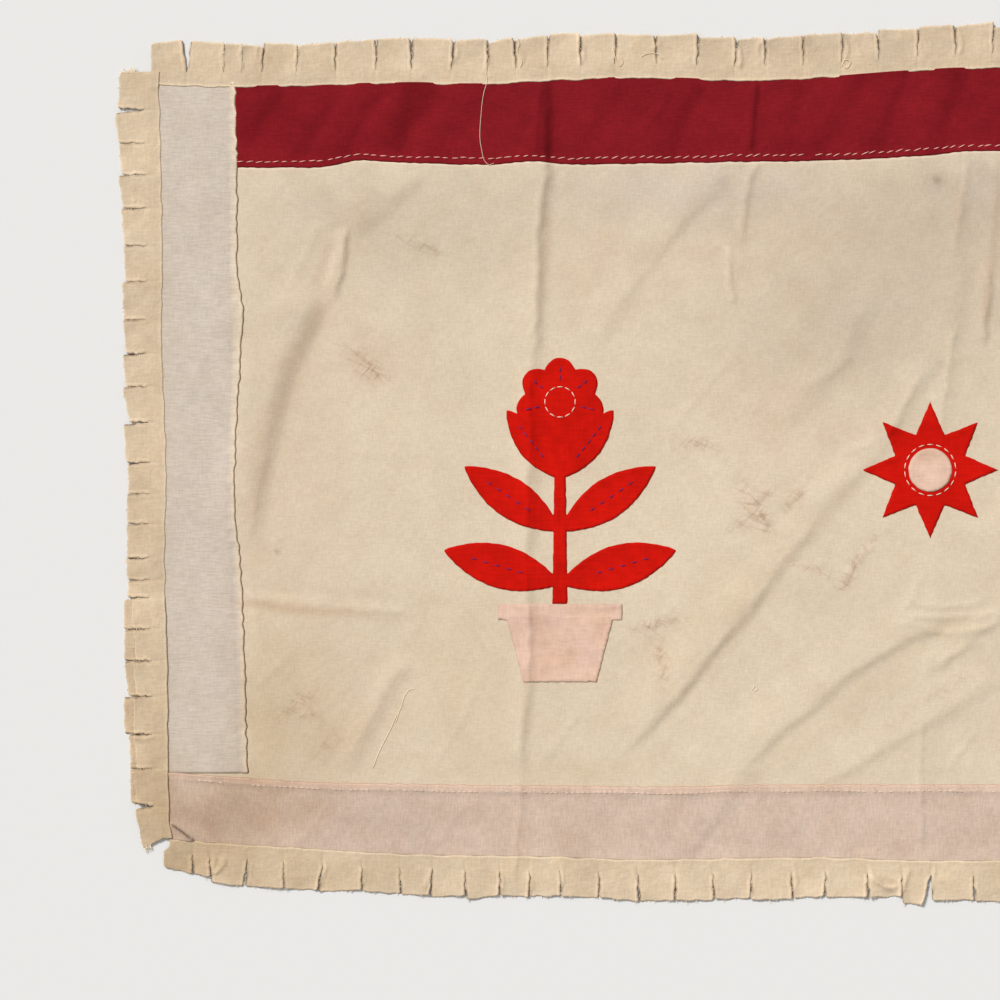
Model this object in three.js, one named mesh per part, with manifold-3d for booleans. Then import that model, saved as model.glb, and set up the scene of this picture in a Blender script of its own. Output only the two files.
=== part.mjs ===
// A hand-sewn cotton company flag, lying face up: a cream ground cloth, three applied
// border bands, fringes cut into tabs on three sides, and an appliqué plant and star.
// Millimetres, +Z up. The origin is on the surface that the flag lies on, under its middle.
import * as THREE from 'three';
import Module from 'manifold-3d';
import { mergeVertices } from 'three/addons/utils/BufferGeometryUtils.js';

const wasm = await Module();
wasm.setup();

// Driving dimensions. The outlines below are drawn on a plan of the flag in plan units,
// x to the right and y down, and one plan unit is UNIT millimetres of cloth.
const UNIT = 1.06;
const PLAN_MIDDLE = { x: 834, y: 463 };
const HOIST_X = 1553;
const CLOTH = 1.0;              // thickness of each cloth piece, soft nap included
const LAYER_GAP = 0.3;          // air between two cloths that are sewn together
const SEAM_GAP = 0.5;           // plan gap where a fringe strip meets the ground
const BUTT_GAP = 0.3;           // plan gap where two bands meet
const BAND_LEVEL = CLOTH + LAYER_GAP;
const PATCH_LEVEL = BAND_LEVEL + CLOTH + LAYER_GAP;

// Seams and cloth edges, as plan points that a smooth line runs through.
const TOP_SEAM = [[157, 84], [237, 86], [400, 82.5], [484, 83.5], [534, 80.3], [638, 77], [743, 79.7],
  [834, 76], [891, 71.7], [955, 68], [1040, 66.5], [HOIST_X, 67]];
const TOP_BAND_EDGE = [[157, 167], [320, 167.3], [358, 160.8], [400, 162.5], [486, 165], [534, 161.6],
  [563, 164.4], [748, 162], [853, 159.7], [930, 155.5], [975, 151], [HOIST_X, 151]];
const FOOT_BAND_EDGE = [[157, 771], [249, 778], [310, 781.8], [461, 784.7], [600, 786], [700, 786.5],
  [731, 784.7], [1000, 784.7], [HOIST_X, 785]];
const FOOT_SEAM = [[157, 839], [215, 844], [291, 848.7], [400, 855.2], [550, 858], [637, 861],
  [822, 858.8], [924, 862], [HOIST_X, 861]];
const FLY_SEAM = [[84, 157.4], [144, 159.3], [268, 161.2], [338, 160.3], [434, 164], [491, 165],
  [530, 163.7], [600, 164], [657, 166], [772, 167], [810, 168], [840, 170.5]];
const FLY_BAND_EDGE = [[84, 236.2], [167, 237.7], [278, 238.7], [309, 243.9], [346, 241.6], [462, 235.8],
  [529, 236.8], [554, 240.6], [638, 244.4], [696, 246.4], [774, 248.3]];

// Folds of the cloth. Each is a ridge along a curve from one plan point through a middle
// point to another. Its flank towards the upper left is the longer one, in millimetres.
const FOLDS = [
  // from, through, to, height, long flank, short flank
  [[350, 205], [287, 375], [250, 550], 5.5, 30, 15],
  [[547, 20], [534, 440], [516, 905], 2.6, 15, 10],
  [[885, 455], [760, 600], [600, 775], 5.0, 38, 20],
  [[935, 632], [850, 680], [735, 778], 4.8, 34, 18],
  [[1010, 662], [900, 740], [800, 790], 3.2, 28, 16],
  [[950, 330], [880, 440], [800, 520], 3.0, 28, 16],
  [[880, 270], [835, 360], [770, 430], 2.4, 32, 20],
  [[720, 180], [655, 255], [595, 345], 2.8, 32, 18],
  [[415, 650], [375, 712], [345, 775], 2.8, 26, 16],
  [[762, 756], [715, 810], [676, 866], 3.0, 24, 15],
  [[962, 140], [954, 300], [940, 440], 2.2, 16, 12],
  [[1190, 60], [1186, 400], [1180, 860], 2.4, 18, 14],
  [[1150, 330], [1080, 440], [985, 560], 3.6, 36, 22],
  [[1330, 360], [1240, 520], [1110, 690], 4.6, 40, 24],
  [[1480, 470], [1400, 600], [1290, 760], 4.0, 38, 24],
  [[1500, 150], [1440, 250], [1360, 360], 3.0, 34, 22],
];
const FOLD_STEPS = 10;
const FOLD_END = 0.18;          // share of a fold's length over which each end dies away

// Tabs of the three fringes, in order from the fly corner. A row has the plan place where
// the tab ends, its outer edge at its two ends, and the width of the cut that follows it.
const TOP_TABS = [
  // end, outer at start, outer at end, cut
  [187, 44, 40, 5.5], [224, 41, 43, 0.9], [242, 43, 43, 0.9], [261, 45, 46.4, 1.0], [297, 43, 45, 0.9],
  [336, 45.5, 42, 1.6], [376, 43, 39.2, 2.2], [412, 39, 38, 2.8], [451.5, 38.5, 39, 2.4],
  [487, 41, 39, 2.0], [516, 42.5, 37.5, 2.0], [547.5, 40.5, 35, 2.0], [581, 34.5, 33, 2.4],
  [615, 36, 33, 1.6], [657, 34, 36, 1.6], [696.5, 35.5, 34.3, 1.6], [734.5, 38, 37, 2.4],
  [765.5, 40, 37.3, 1.3], [803, 39, 35.5, 1.1], [841.5, 35.5, 33, 1.5], [879, 33.5, 33.5, 1.5],
  [917.5, 29.5, 29.3, 1.3], [955.5, 27, 25, 1.5], [992.5, 26.5, 22, 1.2],
];
const FLY_TABS = [
  [110, 120, 118.2, 2.4], [143.5, 115.5, 119, 0.9], [175.5, 118.7, 122.5, 0.9], [208.5, 119, 123, 0.9],
  [246, 121.4, 124.9, 0.9], [282, 124, 125.5, 0.9], [320, 123, 123.5, 0.9], [353.5, 123, 127, 2.0],
  [387, 123, 126, 1.1], [422.5, 123, 130, 2.8], [462.5, 124, 126.5, 1.5], [494, 128.5, 128.5, 0.9],
  [524, 127, 127.5, 1.1], [558, 126.8, 127.5, 1.1], [580, 126, 128, 0.9], [597.5, 128, 128, 0.9],
  [628.5, 127, 128, 1.2], [661, 127, 130, 1.5], [696.5, 131, 134, 1.5], [734, 133, 134, 1.2],
  [768.5, 135, 136, 0.9], [806, 135, 138, 4.6], [847, 139, 147, 0],
];
const FOOT_TABS = [
  [193, 867, 873.6, 1.6], [210, 874, 876.4, 1.1], [248, 882, 886, 2.8], [283.5, 886, 888, 1.5],
  [323, 888.5, 890, 2.0], [362, 891.7, 890, 1.1], [400, 891, 894, 1.3], [433, 894.5, 895, 2.0],
  [465, 897, 895, 1.5], [500, 899.5, 895, 1.5], [529.5, 895, 897, 1.5], [560, 896, 896, 1.3],
  [599, 896, 898, 1.3], [638, 897.5, 901, 2.4], [675.5, 901, 900, 2.0], [713, 900, 900, 2.0],
  [752, 899, 898, 1.5], [791, 900, 899, 1.5], [825.5, 898, 896.5, 1.5], [867, 897, 897, 2.4],
  [902, 897, 896, 1.1], [931, 903, 904.5, 6.5], [973.5, 900, 900, 2.4],
];
// Tabs on the plain stretch towards the hoist, in plan units: their width, the cut between
// them, how much the widths and the outer edges vary, and where the outer edges lie.
const PLAIN_TABS = { pitch: 38, cut: 1.6, pitchSway: 3, edgeSway: 1, topEdge: 28, footEdge: 901 };
const TOP_ROOT = 13;            // depth of uncut cloth between the seam and the cuts
const FLY_ROOT = 15;
const FOOT_ROOT = 13;
const CORNER_INSET = 1;         // from the ground's fly corner to the end of a strip's seam
const CORNER_OVERHANG = 7.5;    // how far an end tab reaches past its strip's seam end
const FLY_TOP = 72;             // where the fly fringe starts, above the corner of the ground
const BACK_PLY = { from: 599.5, cover: 3, reach: 7 };  // second ply of the fly fringe's low stretch

// Rows and columns of the grid that the ground cloth and the bands share.
const COLUMNS = { flyBand: 3, seen: 34, plain: 14, seenTo: 1000 };
const ROWS = { topBand: 3, field: 23, footBand: 3 };

const CUTTER_REACH = 60;        // how far a cutter for a patch reaches past the cloth it cuts
const PATCH_TOLERANCE = 0.02;

// Appliqué. Sizes in millimetres, places in plan units.
const PLANT = { x: 560, base: 682, potTop: 604, flowerY: 402, petals: 7, flowerR: 47, petalDip: 0.2 };
const STEM = { foot: 16, head: 10 };
const LEAVES = [
  // height up the stem, length, width, angle above level
  [0.10, 128, 46, 16],
  [0.36, 122, 42, 34],
  [0.62, 92, 33, 52],
];
const POT = { rim: 132, rimHeight: 17, shoulder: 112, foot: 78 };
const STAR = { x: 930, y: 470, points: 8, outer: 72, inner: 40, eye: 23 };

const COLOURS = {
  cream: 0xddc9a9, fringe: 0xdcc6a1, crimson: 0x8e1c26, grey: 0xcfc3b5, pinkGrey: 0xccb3a2,
  scarlet: 0xc41c10, pink: 0xe0bfb2,
};

function cloth(colour) {
  return new THREE.MeshStandardMaterial({ color: colour, roughness: 0.95, metalness: 0 });
}

// The value at t of a smooth line through [t, value] rows.
function along(rows, t) {
  let i = 0;
  while (i < rows.length - 2 && t > rows[i + 1][0]) i += 1;
  const [t0, a] = rows[i];
  const [t1, b] = rows[i + 1];
  const before = rows[Math.max(i - 1, 0)];
  const after = rows[Math.min(i + 2, rows.length - 1)];
  const width = t1 - t0;
  const slopeIn = (b - before[1]) / (t1 - before[0]);
  const slopeOut = (after[1] - a) / (after[0] - t0);
  const s = THREE.MathUtils.clamp((t - t0) / width, 0, 1);
  const s2 = s * s;
  const s3 = s2 * s;
  return (2 * s3 - 3 * s2 + 1) * a + (s3 - 2 * s2 + s) * width * slopeIn
    + (3 * s2 - 2 * s3) * b + (s3 - s2) * width * slopeOut;
}

// How far the cloth stands off the surface at a plan point, in millimetres.
function rise(x, y) {
  let height = 0;
  for (const [from, through, to, top, longFlank, shortFlank] of FOLDS) {
    const bend = [2 * through[0] - (from[0] + to[0]) / 2, 2 * through[1] - (from[1] + to[1]) / 2];
    const curvePoint = (t, k) => (1 - t) ** 2 * from[k] + 2 * t * (1 - t) * bend[k] + t * t * to[k];
    let best = Infinity;
    let side = 1;
    let place = 0;
    for (let i = 0; i < FOLD_STEPS; i += 1) {
      const t0 = i / FOLD_STEPS;
      const t1 = (i + 1) / FOLD_STEPS;
      const ax = curvePoint(t0, 0);
      const ay = curvePoint(t0, 1);
      const dx = curvePoint(t1, 0) - ax;
      const dy = curvePoint(t1, 1) - ay;
      const share = THREE.MathUtils.clamp(((x - ax) * dx + (y - ay) * dy) / (dx * dx + dy * dy), 0, 1);
      const distance = Math.hypot(x - ax - share * dx, y - ay - share * dy) * UNIT;
      if (distance < best) {
        best = distance;
        side = (x - ax) * dy - (y - ay) * dx;
        place = t0 + share / FOLD_STEPS;
      }
    }
    // Every fold runs from top to bottom of the plan, so its upper left side has side < 0.
    const flank = side < 0 ? longFlank : shortFlank;
    const across = Math.max(0, 1 - (best / flank) ** 2) ** 2;
    const ending = THREE.MathUtils.smoothstep(Math.min(place, 1 - place), 0, FOLD_END);
    height += top * across * ending;
  }
  return height;
}

// A cloth point: millimetres from the origin, with z the underside of the ground cloth there.
function point(x, y) {
  return { x: (x - PLAN_MIDDLE.x) * UNIT, y: (PLAN_MIDDLE.y - y) * UNIT, z: rise(x, y) };
}

// A closed sheet over flat cells. A cell is a ring of points that share corners with their
// neighbours; an edge that only one cell has gets a wall. lift(p) raises the underside.
function sheet(cells, lift = () => 0) {
  const corners = [];
  const places = new Map();
  const edges = new Map();
  const faces = [];
  const cornerOf = (p) => {
    const key = `${p.x.toFixed(3)} ${p.y.toFixed(3)}`;
    if (!places.has(key)) {
      places.set(key, corners.length);
      corners.push([p.x, p.y, p.z + lift(p)]);
    }
    return places.get(key);
  };
  for (const cell of cells) {
    const area = cell.reduce((sum, p, i) => {
      const q = cell[(i + 1) % cell.length];
      return sum + p.x * q.y - q.x * p.y;
    }, 0);
    const ring = (area < 0 ? [...cell].reverse() : cell).map(cornerOf);
    for (let i = 1; i < ring.length - 1; i += 1) faces.push([ring[0], ring[i], ring[i + 1]]);
    ring.forEach((a, i) => {
      const b = ring[(i + 1) % ring.length];
      if (!edges.delete(`${b} ${a}`)) edges.set(`${a} ${b}`, [a, b]);
    });
  }
  const count = corners.length;
  const index = [];
  for (const [a, b, c] of faces) index.push(a + count, b + count, c + count, a, c, b);
  for (const [a, b] of edges.values()) index.push(a, b, b + count, a, b + count, a + count);
  const upper = corners.map(([x, y, z]) => [x, y, z + CLOTH]);
  const geometry = new THREE.BufferGeometry();
  geometry.setAttribute('position', new THREE.Float32BufferAttribute([...corners, ...upper].flat(), 3));
  geometry.setIndex(index);
  return geometry;
}

// The shared grid: gridPoint(i, j) is column i from the fly and row j from the top.
const columnCount = COLUMNS.flyBand + COLUMNS.seen + COLUMNS.plain;
const rowCount = ROWS.topBand + ROWS.field + ROWS.footBand;

function columnX(i, y) {
  const seam = along(FLY_SEAM, y);
  const bandEdge = along(FLY_BAND_EDGE, y);
  if (i <= COLUMNS.flyBand) return THREE.MathUtils.lerp(seam, bandEdge, i / COLUMNS.flyBand);
  const seen = i - COLUMNS.flyBand;
  if (seen <= COLUMNS.seen) return THREE.MathUtils.lerp(bandEdge, COLUMNS.seenTo, seen / COLUMNS.seen);
  return THREE.MathUtils.lerp(COLUMNS.seenTo, HOIST_X, (seen - COLUMNS.seen) / COLUMNS.plain);
}

function rowY(j, x) {
  const lines = [along(TOP_SEAM, x), along(TOP_BAND_EDGE, x), along(FOOT_BAND_EDGE, x), along(FOOT_SEAM, x)];
  const counts = [ROWS.topBand, ROWS.field, ROWS.footBand];
  let left = j;
  let k = 0;
  while (k < 2 && left > counts[k]) {
    left -= counts[k];
    k += 1;
  }
  return THREE.MathUtils.lerp(lines[k], lines[k + 1], left / counts[k]);
}

const grid = [];
for (let i = 0; i <= columnCount; i += 1) {
  grid.push([]);
  for (let j = 0; j <= rowCount; j += 1) {
    const nearY = rowY(j, columnX(i, PLAN_MIDDLE.y));
    const x = columnX(i, nearY);
    grid[i].push(point(x, rowY(j, x)));
  }
}

// The grid's cells from column i0 to i1 and row j0 to j1, with the block's outer corners
// drawn in by the given gaps along the grid lines.
function block(i0, i1, j0, j1, gaps = {}) {
  const drawn = (i, j) => {
    const moved = { ...grid[i][j] };
    const draw = (to, gap) => {
      const run = Math.hypot(to.x - moved.x, to.y - moved.y);
      for (const axis of ['x', 'y', 'z']) moved[axis] += (to[axis] - grid[i][j][axis]) * gap / run;
    };
    if (i === i0 && gaps.fly) draw(grid[i + 1][j], gaps.fly);
    if (j === j0 && gaps.top) draw(grid[i][j + 1], gaps.top);
    if (j === j1 && gaps.foot) draw(grid[i][j - 1], gaps.foot);
    return moved;
  };
  const cells = [];
  for (let i = i0; i < i1; i += 1) {
    for (let j = j0; j < j1; j += 1) {
      cells.push([drawn(i, j), drawn(i + 1, j), drawn(i + 1, j + 1), drawn(i, j + 1)]);
    }
  }
  return cells;
}

function groundCloth() {
  return sheet(block(0, columnCount, 0, rowCount));
}

function topBand() {
  const cells = block(COLUMNS.flyBand, columnCount, 0, ROWS.topBand, { fly: BUTT_GAP });
  return sheet(cells, () => BAND_LEVEL);
}

function flyBand() {
  return sheet(block(0, COLUMNS.flyBand, 0, ROWS.topBand + ROWS.field), () => BAND_LEVEL);
}

function footBand() {
  const cells = block(0, columnCount, ROWS.topBand + ROWS.field, rowCount, { top: BUTT_GAP });
  return sheet(cells, () => BAND_LEVEL);
}

// Tab rows carried on past the end of a table, as far as the hoist.
function toHoist(tabs, outer) {
  const { pitch, cut, pitchSway, edgeSway } = PLAIN_TABS;
  const rows = [...tabs];
  let end = rows[rows.length - 1][0] + pitch;
  for (let k = 0; end < HOIST_X - pitch / 2; k += 1) {
    rows.push([end, outer + edgeSway * Math.sin(2 * k), outer + edgeSway * Math.cos(2 * k), cut]);
    end += pitch + pitchSway * Math.sin(k);
  }
  rows.push([HOIST_X, outer, outer, 0]);
  return rows;
}

// The cells of a fringe strip. place(s, reach) is the plan point at s along the strip, with
// reach 0 on the seam, 1 at the roots of the cuts, or else the plan place of a tab's edge.
function fringeCells(tabs, start, seamStart, place) {
  const cells = [];
  let from = start;
  for (const [end, outerFrom, outerTo, cut] of tabs) {
    const middle = (Math.max(from.s, seamStart) + end) / 2;
    const stations = [from.s, middle, end];
    if (from.s < seamStart) stations.splice(1, 0, seamStart);
    const outerFirst = from.s + from.cut / 2;
    const outerLast = end - cut / 2;
    const outer = stations.map((s) => {
      const share = (s - from.s) / (end - from.s);
      return place(THREE.MathUtils.lerp(outerFirst, outerLast, share),
        { outer: THREE.MathUtils.lerp(outerFrom, outerTo, share) });
    });
    const root = stations.map((s) => place(s, { root: true }));
    const seam = stations.map((s) => place(s, {}));
    for (let k = 0; k < stations.length - 1; k += 1) {
      cells.push([root[k], root[k + 1], outer[k + 1], outer[k]]);
      if (stations[k] >= seamStart) cells.push([seam[k], seam[k + 1], root[k + 1], root[k]]);
    }
    from = { s: end, cut };
  }
  return cells;
}

function topFringe() {
  const place = (x, { root, outer }) => {
    const seam = along(TOP_SEAM, x) - SEAM_GAP / UNIT;
    return point(x, outer ?? (root ? seam - TOP_ROOT : seam));
  };
  const seamStart = along(FLY_SEAM, TOP_SEAM[0][1]) + CORNER_INSET;
  const start = { s: seamStart - CORNER_OVERHANG, cut: 0 };
  return sheet(fringeCells(toHoist(TOP_TABS, PLAIN_TABS.topEdge), start, seamStart, place));
}

function footFringe() {
  const place = (x, { root, outer }) => {
    const seam = along(FOOT_SEAM, x) + SEAM_GAP / UNIT;
    return point(x, outer ?? (root ? seam + FOOT_ROOT : seam));
  };
  const seamStart = along(FLY_SEAM, FOOT_SEAM[0][1]) + CORNER_INSET;
  const start = { s: seamStart - CORNER_OVERHANG, cut: 0 };
  return sheet(fringeCells(toHoist(FOOT_TABS, PLAIN_TABS.footEdge), start, seamStart, place));
}

function flyPlace(y, { root, outer }) {
  const seam = along(FLY_SEAM, y) - SEAM_GAP / UNIT;
  return point(outer ?? (root ? seam - FLY_ROOT : seam), y);
}

// The low stretch of the fly fringe lies on its second ply, and the rest on the surface.
function flyFringe() {
  const lifted = point(0, BACK_PLY.from - BACK_PLY.cover).y;
  const overBack = (p) => (p.y < lifted ? BAND_LEVEL : 0);
  return sheet(fringeCells(FLY_TABS, { s: FLY_TOP, cut: 0 }, FLY_TOP, flyPlace), overBack);
}

// The second ply, which reaches out past the first one.
function flyFringeBack() {
  const tabs = FLY_TABS.filter(([end]) => end > BACK_PLY.from)
    .map(([end, a, b, cut]) => [end, a - BACK_PLY.reach, b - BACK_PLY.reach, cut]);
  return sheet(fringeCells(tabs, { s: BACK_PLY.from, cut: 0 }, BACK_PLY.from, flyPlace));
}

function solid(geometry) {
  const bare = geometry.index ? geometry.toNonIndexed() : geometry.clone();
  bare.deleteAttribute('normal');
  bare.deleteAttribute('uv');
  const merged = mergeVertices(bare, 1e-4);
  return new wasm.Manifold(new wasm.Mesh({
    numProp: 3,
    vertProperties: merged.attributes.position.array,
    triVerts: new Uint32Array(merged.index.array),
  }));
}

function geometryOf(made) {
  const mesh = made.getMesh();
  const geometry = new THREE.BufferGeometry();
  geometry.setAttribute('position', new THREE.Float32BufferAttribute(mesh.vertProperties, 3));
  geometry.setIndex([...mesh.triVerts]);
  return geometry;
}

// Outlines joined, cut out of a layer of cloth at the given level above the ground cloth.
function cutOut(outlines, level) {
  const prisms = outlines.map((points) => {
    const shape = new THREE.Shape(points.map(([x, y]) => new THREE.Vector2(x, y)));
    const geometry = new THREE.ExtrudeGeometry(shape, { depth: 2 * CUTTER_REACH, bevelEnabled: false });
    return solid(geometry.translate(0, 0, -CUTTER_REACH));
  });
  const outline = prisms.reduce((all, prism) => all.add(prism));
  const box = outline.boundingBox();
  const near = (p) => p.x > box.min[0] - CUTTER_REACH && p.x < box.max[0] + CUTTER_REACH
    && p.y > box.min[1] - CUTTER_REACH && p.y < box.max[1] + CUTTER_REACH;
  const cells = block(0, columnCount, 0, rowCount).filter((cell) => cell.every(near));
  return geometryOf(solid(sheet(cells, () => level)).intersect(outline).simplify(PATCH_TOLERANCE));
}

// Points round a closed curve given by radius(angle), centred on a plan place.
function round(centre, steps, radius) {
  const c = point(centre.x, centre.y);
  return Array.from({ length: steps }, (_, k) => {
    const angle = (k / steps) * 2 * Math.PI;
    return [c.x + radius(angle, k) * Math.sin(angle), c.y + radius(angle, k) * Math.cos(angle)];
  });
}

// A pointed leaf from its foot, between two equal arcs.
function leaf(foot, length, width, angle) {
  const half = 7;
  const side = (s) => (width / 2) * Math.sin(Math.PI * s) ** 0.8;
  const spine = [];
  for (let k = 0; k <= half; k += 1) spine.push([k / half, side(k / half)]);
  for (let k = half - 1; k > 0; k -= 1) spine.push([k / half, -side(k / half)]);
  return spine.map(([s, w]) => [
    foot[0] + length * s * Math.cos(angle) - w * Math.sin(angle),
    foot[1] + length * s * Math.sin(angle) + w * Math.cos(angle),
  ]);
}

function plant() {
  const foot = point(PLANT.x, PLANT.potTop);
  const head = point(PLANT.x, PLANT.flowerY);
  const footY = foot.y + BUTT_GAP;
  const stem = [
    [foot.x - STEM.foot / 2, footY], [foot.x + STEM.foot / 2, footY],
    [head.x + STEM.head / 2, head.y], [head.x - STEM.head / 2, head.y],
  ];
  const leaves = LEAVES.flatMap(([up, length, width, degrees]) => [0, 180].map((turn) => {
    const angle = THREE.MathUtils.degToRad(turn ? turn - degrees : degrees);
    return leaf([foot.x, THREE.MathUtils.lerp(footY, head.y, up)], length, width, angle);
  }));
  const flower = round({ x: PLANT.x, y: PLANT.flowerY }, PLANT.petals * 6, (angle) => (
    PLANT.flowerR * (1 - PLANT.petalDip * (1 - Math.abs(Math.cos(angle * PLANT.petals / 2))))));
  return cutOut([stem, ...leaves, flower], BAND_LEVEL);
}

function pot() {
  const rim = point(PLANT.x, PLANT.potTop);
  const base = point(PLANT.x, PLANT.base);
  const halves = [[POT.rim, rim.y], [POT.rim, rim.y - POT.rimHeight],
    [POT.shoulder, rim.y - POT.rimHeight], [POT.foot, base.y]];
  const right = halves.map(([width, y]) => [rim.x + width / 2, y]);
  const left = [...halves].reverse().map(([width, y]) => [rim.x - width / 2, y]);
  return cutOut([[...right, ...left]], BAND_LEVEL);
}

function star() {
  return cutOut([round(STAR, STAR.points * 2, (_, k) => (k % 2 ? STAR.inner : STAR.outer))], BAND_LEVEL);
}

function starEye() {
  return cutOut([round(STAR, 20, () => STAR.eye)], PATCH_LEVEL);
}

const flag = new THREE.Group();
const pieces = [
  ['ground', groundCloth(), COLOURS.cream],
  ['top_band', topBand(), COLOURS.crimson],
  ['fly_band', flyBand(), COLOURS.grey],
  ['foot_band', footBand(), COLOURS.pinkGrey],
  ['fringe_top', topFringe(), COLOURS.fringe],
  ['fringe_fly', flyFringe(), COLOURS.fringe],
  ['fringe_fly_back', flyFringeBack(), COLOURS.fringe],
  ['fringe_foot', footFringe(), COLOURS.fringe],
  ['plant', plant(), COLOURS.scarlet],
  ['pot', pot(), COLOURS.pink],
  ['star', star(), COLOURS.scarlet],
  ['star_eye', starEye(), COLOURS.pink],
];
for (const [name, geometry, colour] of pieces) {
  const mesh = new THREE.Mesh(geometry, cloth(colour));
  mesh.name = name;
  flag.add(mesh);
}

export default flag;
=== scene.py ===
import bpy
import numpy as np
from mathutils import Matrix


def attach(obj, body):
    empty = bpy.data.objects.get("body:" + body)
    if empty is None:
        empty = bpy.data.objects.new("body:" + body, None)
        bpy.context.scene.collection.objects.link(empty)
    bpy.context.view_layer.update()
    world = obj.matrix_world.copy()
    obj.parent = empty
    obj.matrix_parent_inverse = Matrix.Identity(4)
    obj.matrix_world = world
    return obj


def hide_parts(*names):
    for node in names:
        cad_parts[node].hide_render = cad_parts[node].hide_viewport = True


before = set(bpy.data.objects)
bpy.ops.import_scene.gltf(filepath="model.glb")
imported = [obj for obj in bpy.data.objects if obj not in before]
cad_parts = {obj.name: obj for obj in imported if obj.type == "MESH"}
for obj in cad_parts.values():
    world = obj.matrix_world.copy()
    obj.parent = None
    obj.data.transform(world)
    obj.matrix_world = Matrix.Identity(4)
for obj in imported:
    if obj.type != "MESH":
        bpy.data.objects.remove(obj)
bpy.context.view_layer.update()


# The flag lies on a plain pale floor and is seen from straight above its fly two thirds. Its
# outlines are drawn on a plan in plan units, x to the right and y down, so a place on the
# plan is a place in the picture, and one unit is 1.06 mm of cloth.
PLAN_UNIT = 0.00106
PLAN_MIDDLE = (834, 463)
HOIST_X = 1553
SEEN_TO_X = 1000
PICTURE = (500, 500, 1000)          # middle x, middle y and width of the picture on the plan
CAMERA_HEIGHT = 4.0
CAMERA_REACH = 100.0
FLOOR_SIZE = 40.0
FLOOR_COLOUR = (0.78, 0.78, 0.78, 1)
LIGHT_COLOUR = (1.0, 0.985, 0.96)
SUN_TURN = np.radians((-48, 0, 40))
SUN_WIDTH = np.radians(16)
SUN_STRENGTH = 3.0
FILL_STRENGTH = 0.42


def from_plan(x, y):
    """Metres from the frame's origin: the plan moved to its middle, scaled, and y turned up."""
    return (x - PLAN_MIDDLE[0]) * PLAN_UNIT, (PLAN_MIDDLE[1] - y) * PLAN_UNIT


def points_at(x, y, z):
    """Points in metres from plan places and heights."""
    return np.stack([*from_plan(x, y), z], -1)


def add_object(name, data):
    """A new object at the origin, in the scene's own collection."""
    made = bpy.data.objects.new(name, data)
    bpy.context.scene.collection.objects.link(made)
    return made


def link_node(tree, kind, inputs=None, **settings):
    """A shader node with its settings, and its inputs set or joined to other sockets."""
    made = tree.nodes.new(kind)
    for key, value in settings.items():
        setattr(made, key, value)
    for key, value in (inputs or {}).items():
        if isinstance(value, bpy.types.NodeSocket):
            tree.links.new(value, made.inputs[key])
        else:
            made.inputs[key].default_value = value
    return made


camera = add_object("camera", bpy.data.cameras.new("camera"))
camera.location = (*from_plan(PICTURE[0], PICTURE[1]), CAMERA_HEIGHT)
camera.data.lens = camera.data.sensor_width * CAMERA_HEIGHT / (PICTURE[2] * PLAN_UNIT)
camera.data.clip_end = CAMERA_REACH
bpy.context.scene.camera = camera
bpy.context.scene.view_settings.view_transform = "Standard"

floor_mesh = bpy.data.meshes.new("floor")
half = FLOOR_SIZE / 2
floor_mesh.from_pydata([(-half, -half, 0), (half, -half, 0), (half, half, 0), (-half, half, 0)],
                       [], [(0, 1, 2, 3)])
floor_paint = bpy.data.materials.new("floor_paint")
floor_paint.use_nodes = True
floor_shader = floor_paint.node_tree.nodes["Principled BSDF"]
floor_shader.inputs["Base Color"].default_value = FLOOR_COLOUR
floor_shader.inputs["Roughness"].default_value = 0.9
floor_mesh.materials.append(floor_paint)
add_object("floor", floor_mesh)

# One big soft light from the upper left, low enough to show the folds, and an even fill.
sun = add_object("soft_light", bpy.data.lights.new("soft_light", "SUN"))
sun.rotation_euler = SUN_TURN
sun.data.energy = SUN_STRENGTH
sun.data.angle = SUN_WIDTH
sun.data.color = LIGHT_COLOUR
bpy.context.scene.world = bpy.data.worlds.new("studio")
bpy.context.scene.world.use_nodes = True
fill = bpy.context.scene.world.node_tree.nodes["Background"]
fill.inputs["Color"].default_value = (*LIGHT_COLOUR, 1)
fill.inputs["Strength"].default_value = FILL_STRENGTH


# The ground: one plain-weave cream cotton cloth, hemmed at the hoist, yellowed and marked
# by stains over the years, with painted shade along its folds. It lies on the floor in long
# shallow folds and short creases, and everything else is sewn to it, so the band, fringe
# and patch sections follow its height.
GROUND_PLY = 0.0008
LAYER_GAP = 0.0002
HOIST_HEM = (14, 12)                # plan units from the hoist where the hem starts and is full
HEM_STEP = 0.0005
# Seams and free edges of the bands, as rows of x, y along the flag and of y, x across it.
TOP_SEAM = (
    (157, 84), (237, 86), (400, 82.5), (484, 83.5), (534, 80.3), (638, 77), (743, 79.7), (834, 76),
    (891, 71.7), (955, 68), (1040, 66.5), (HOIST_X, 67),
)
TOP_BAND_EDGE = (
    (157, 167), (320, 167.3), (358, 160.8), (400, 162.5), (486, 165), (534, 161.6), (563, 164.4),
    (748, 162), (853, 159.7), (930, 155.5), (975, 151), (HOIST_X, 151),
)
FOOT_BAND_EDGE = (
    (157, 771), (249, 778), (310, 781.8), (461, 784.7), (600, 786), (700, 786.5), (731, 784.7),
    (1000, 784.7), (HOIST_X, 785),
)
FOOT_SEAM = (
    (157, 839), (215, 844), (291, 848.7), (400, 855.2), (550, 858), (637, 861), (822, 858.8), (924, 862),
    (HOIST_X, 861),
)
FLY_SEAM = (
    (84, 157.4), (144, 159.3), (268, 161.2), (338, 160.3), (434, 164), (491, 165), (530, 163.7),
    (600, 164), (657, 166), (772, 167), (810, 168), (840, 170.5),
)
FLY_BAND_EDGE = (
    (84, 236.2), (167, 237.7), (278, 238.7), (309, 243.9), (346, 241.6), (462, 235.8), (529, 236.8),
    (554, 240.6), (638, 244.4), (696, 246.4), (774, 248.3),
)
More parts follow.
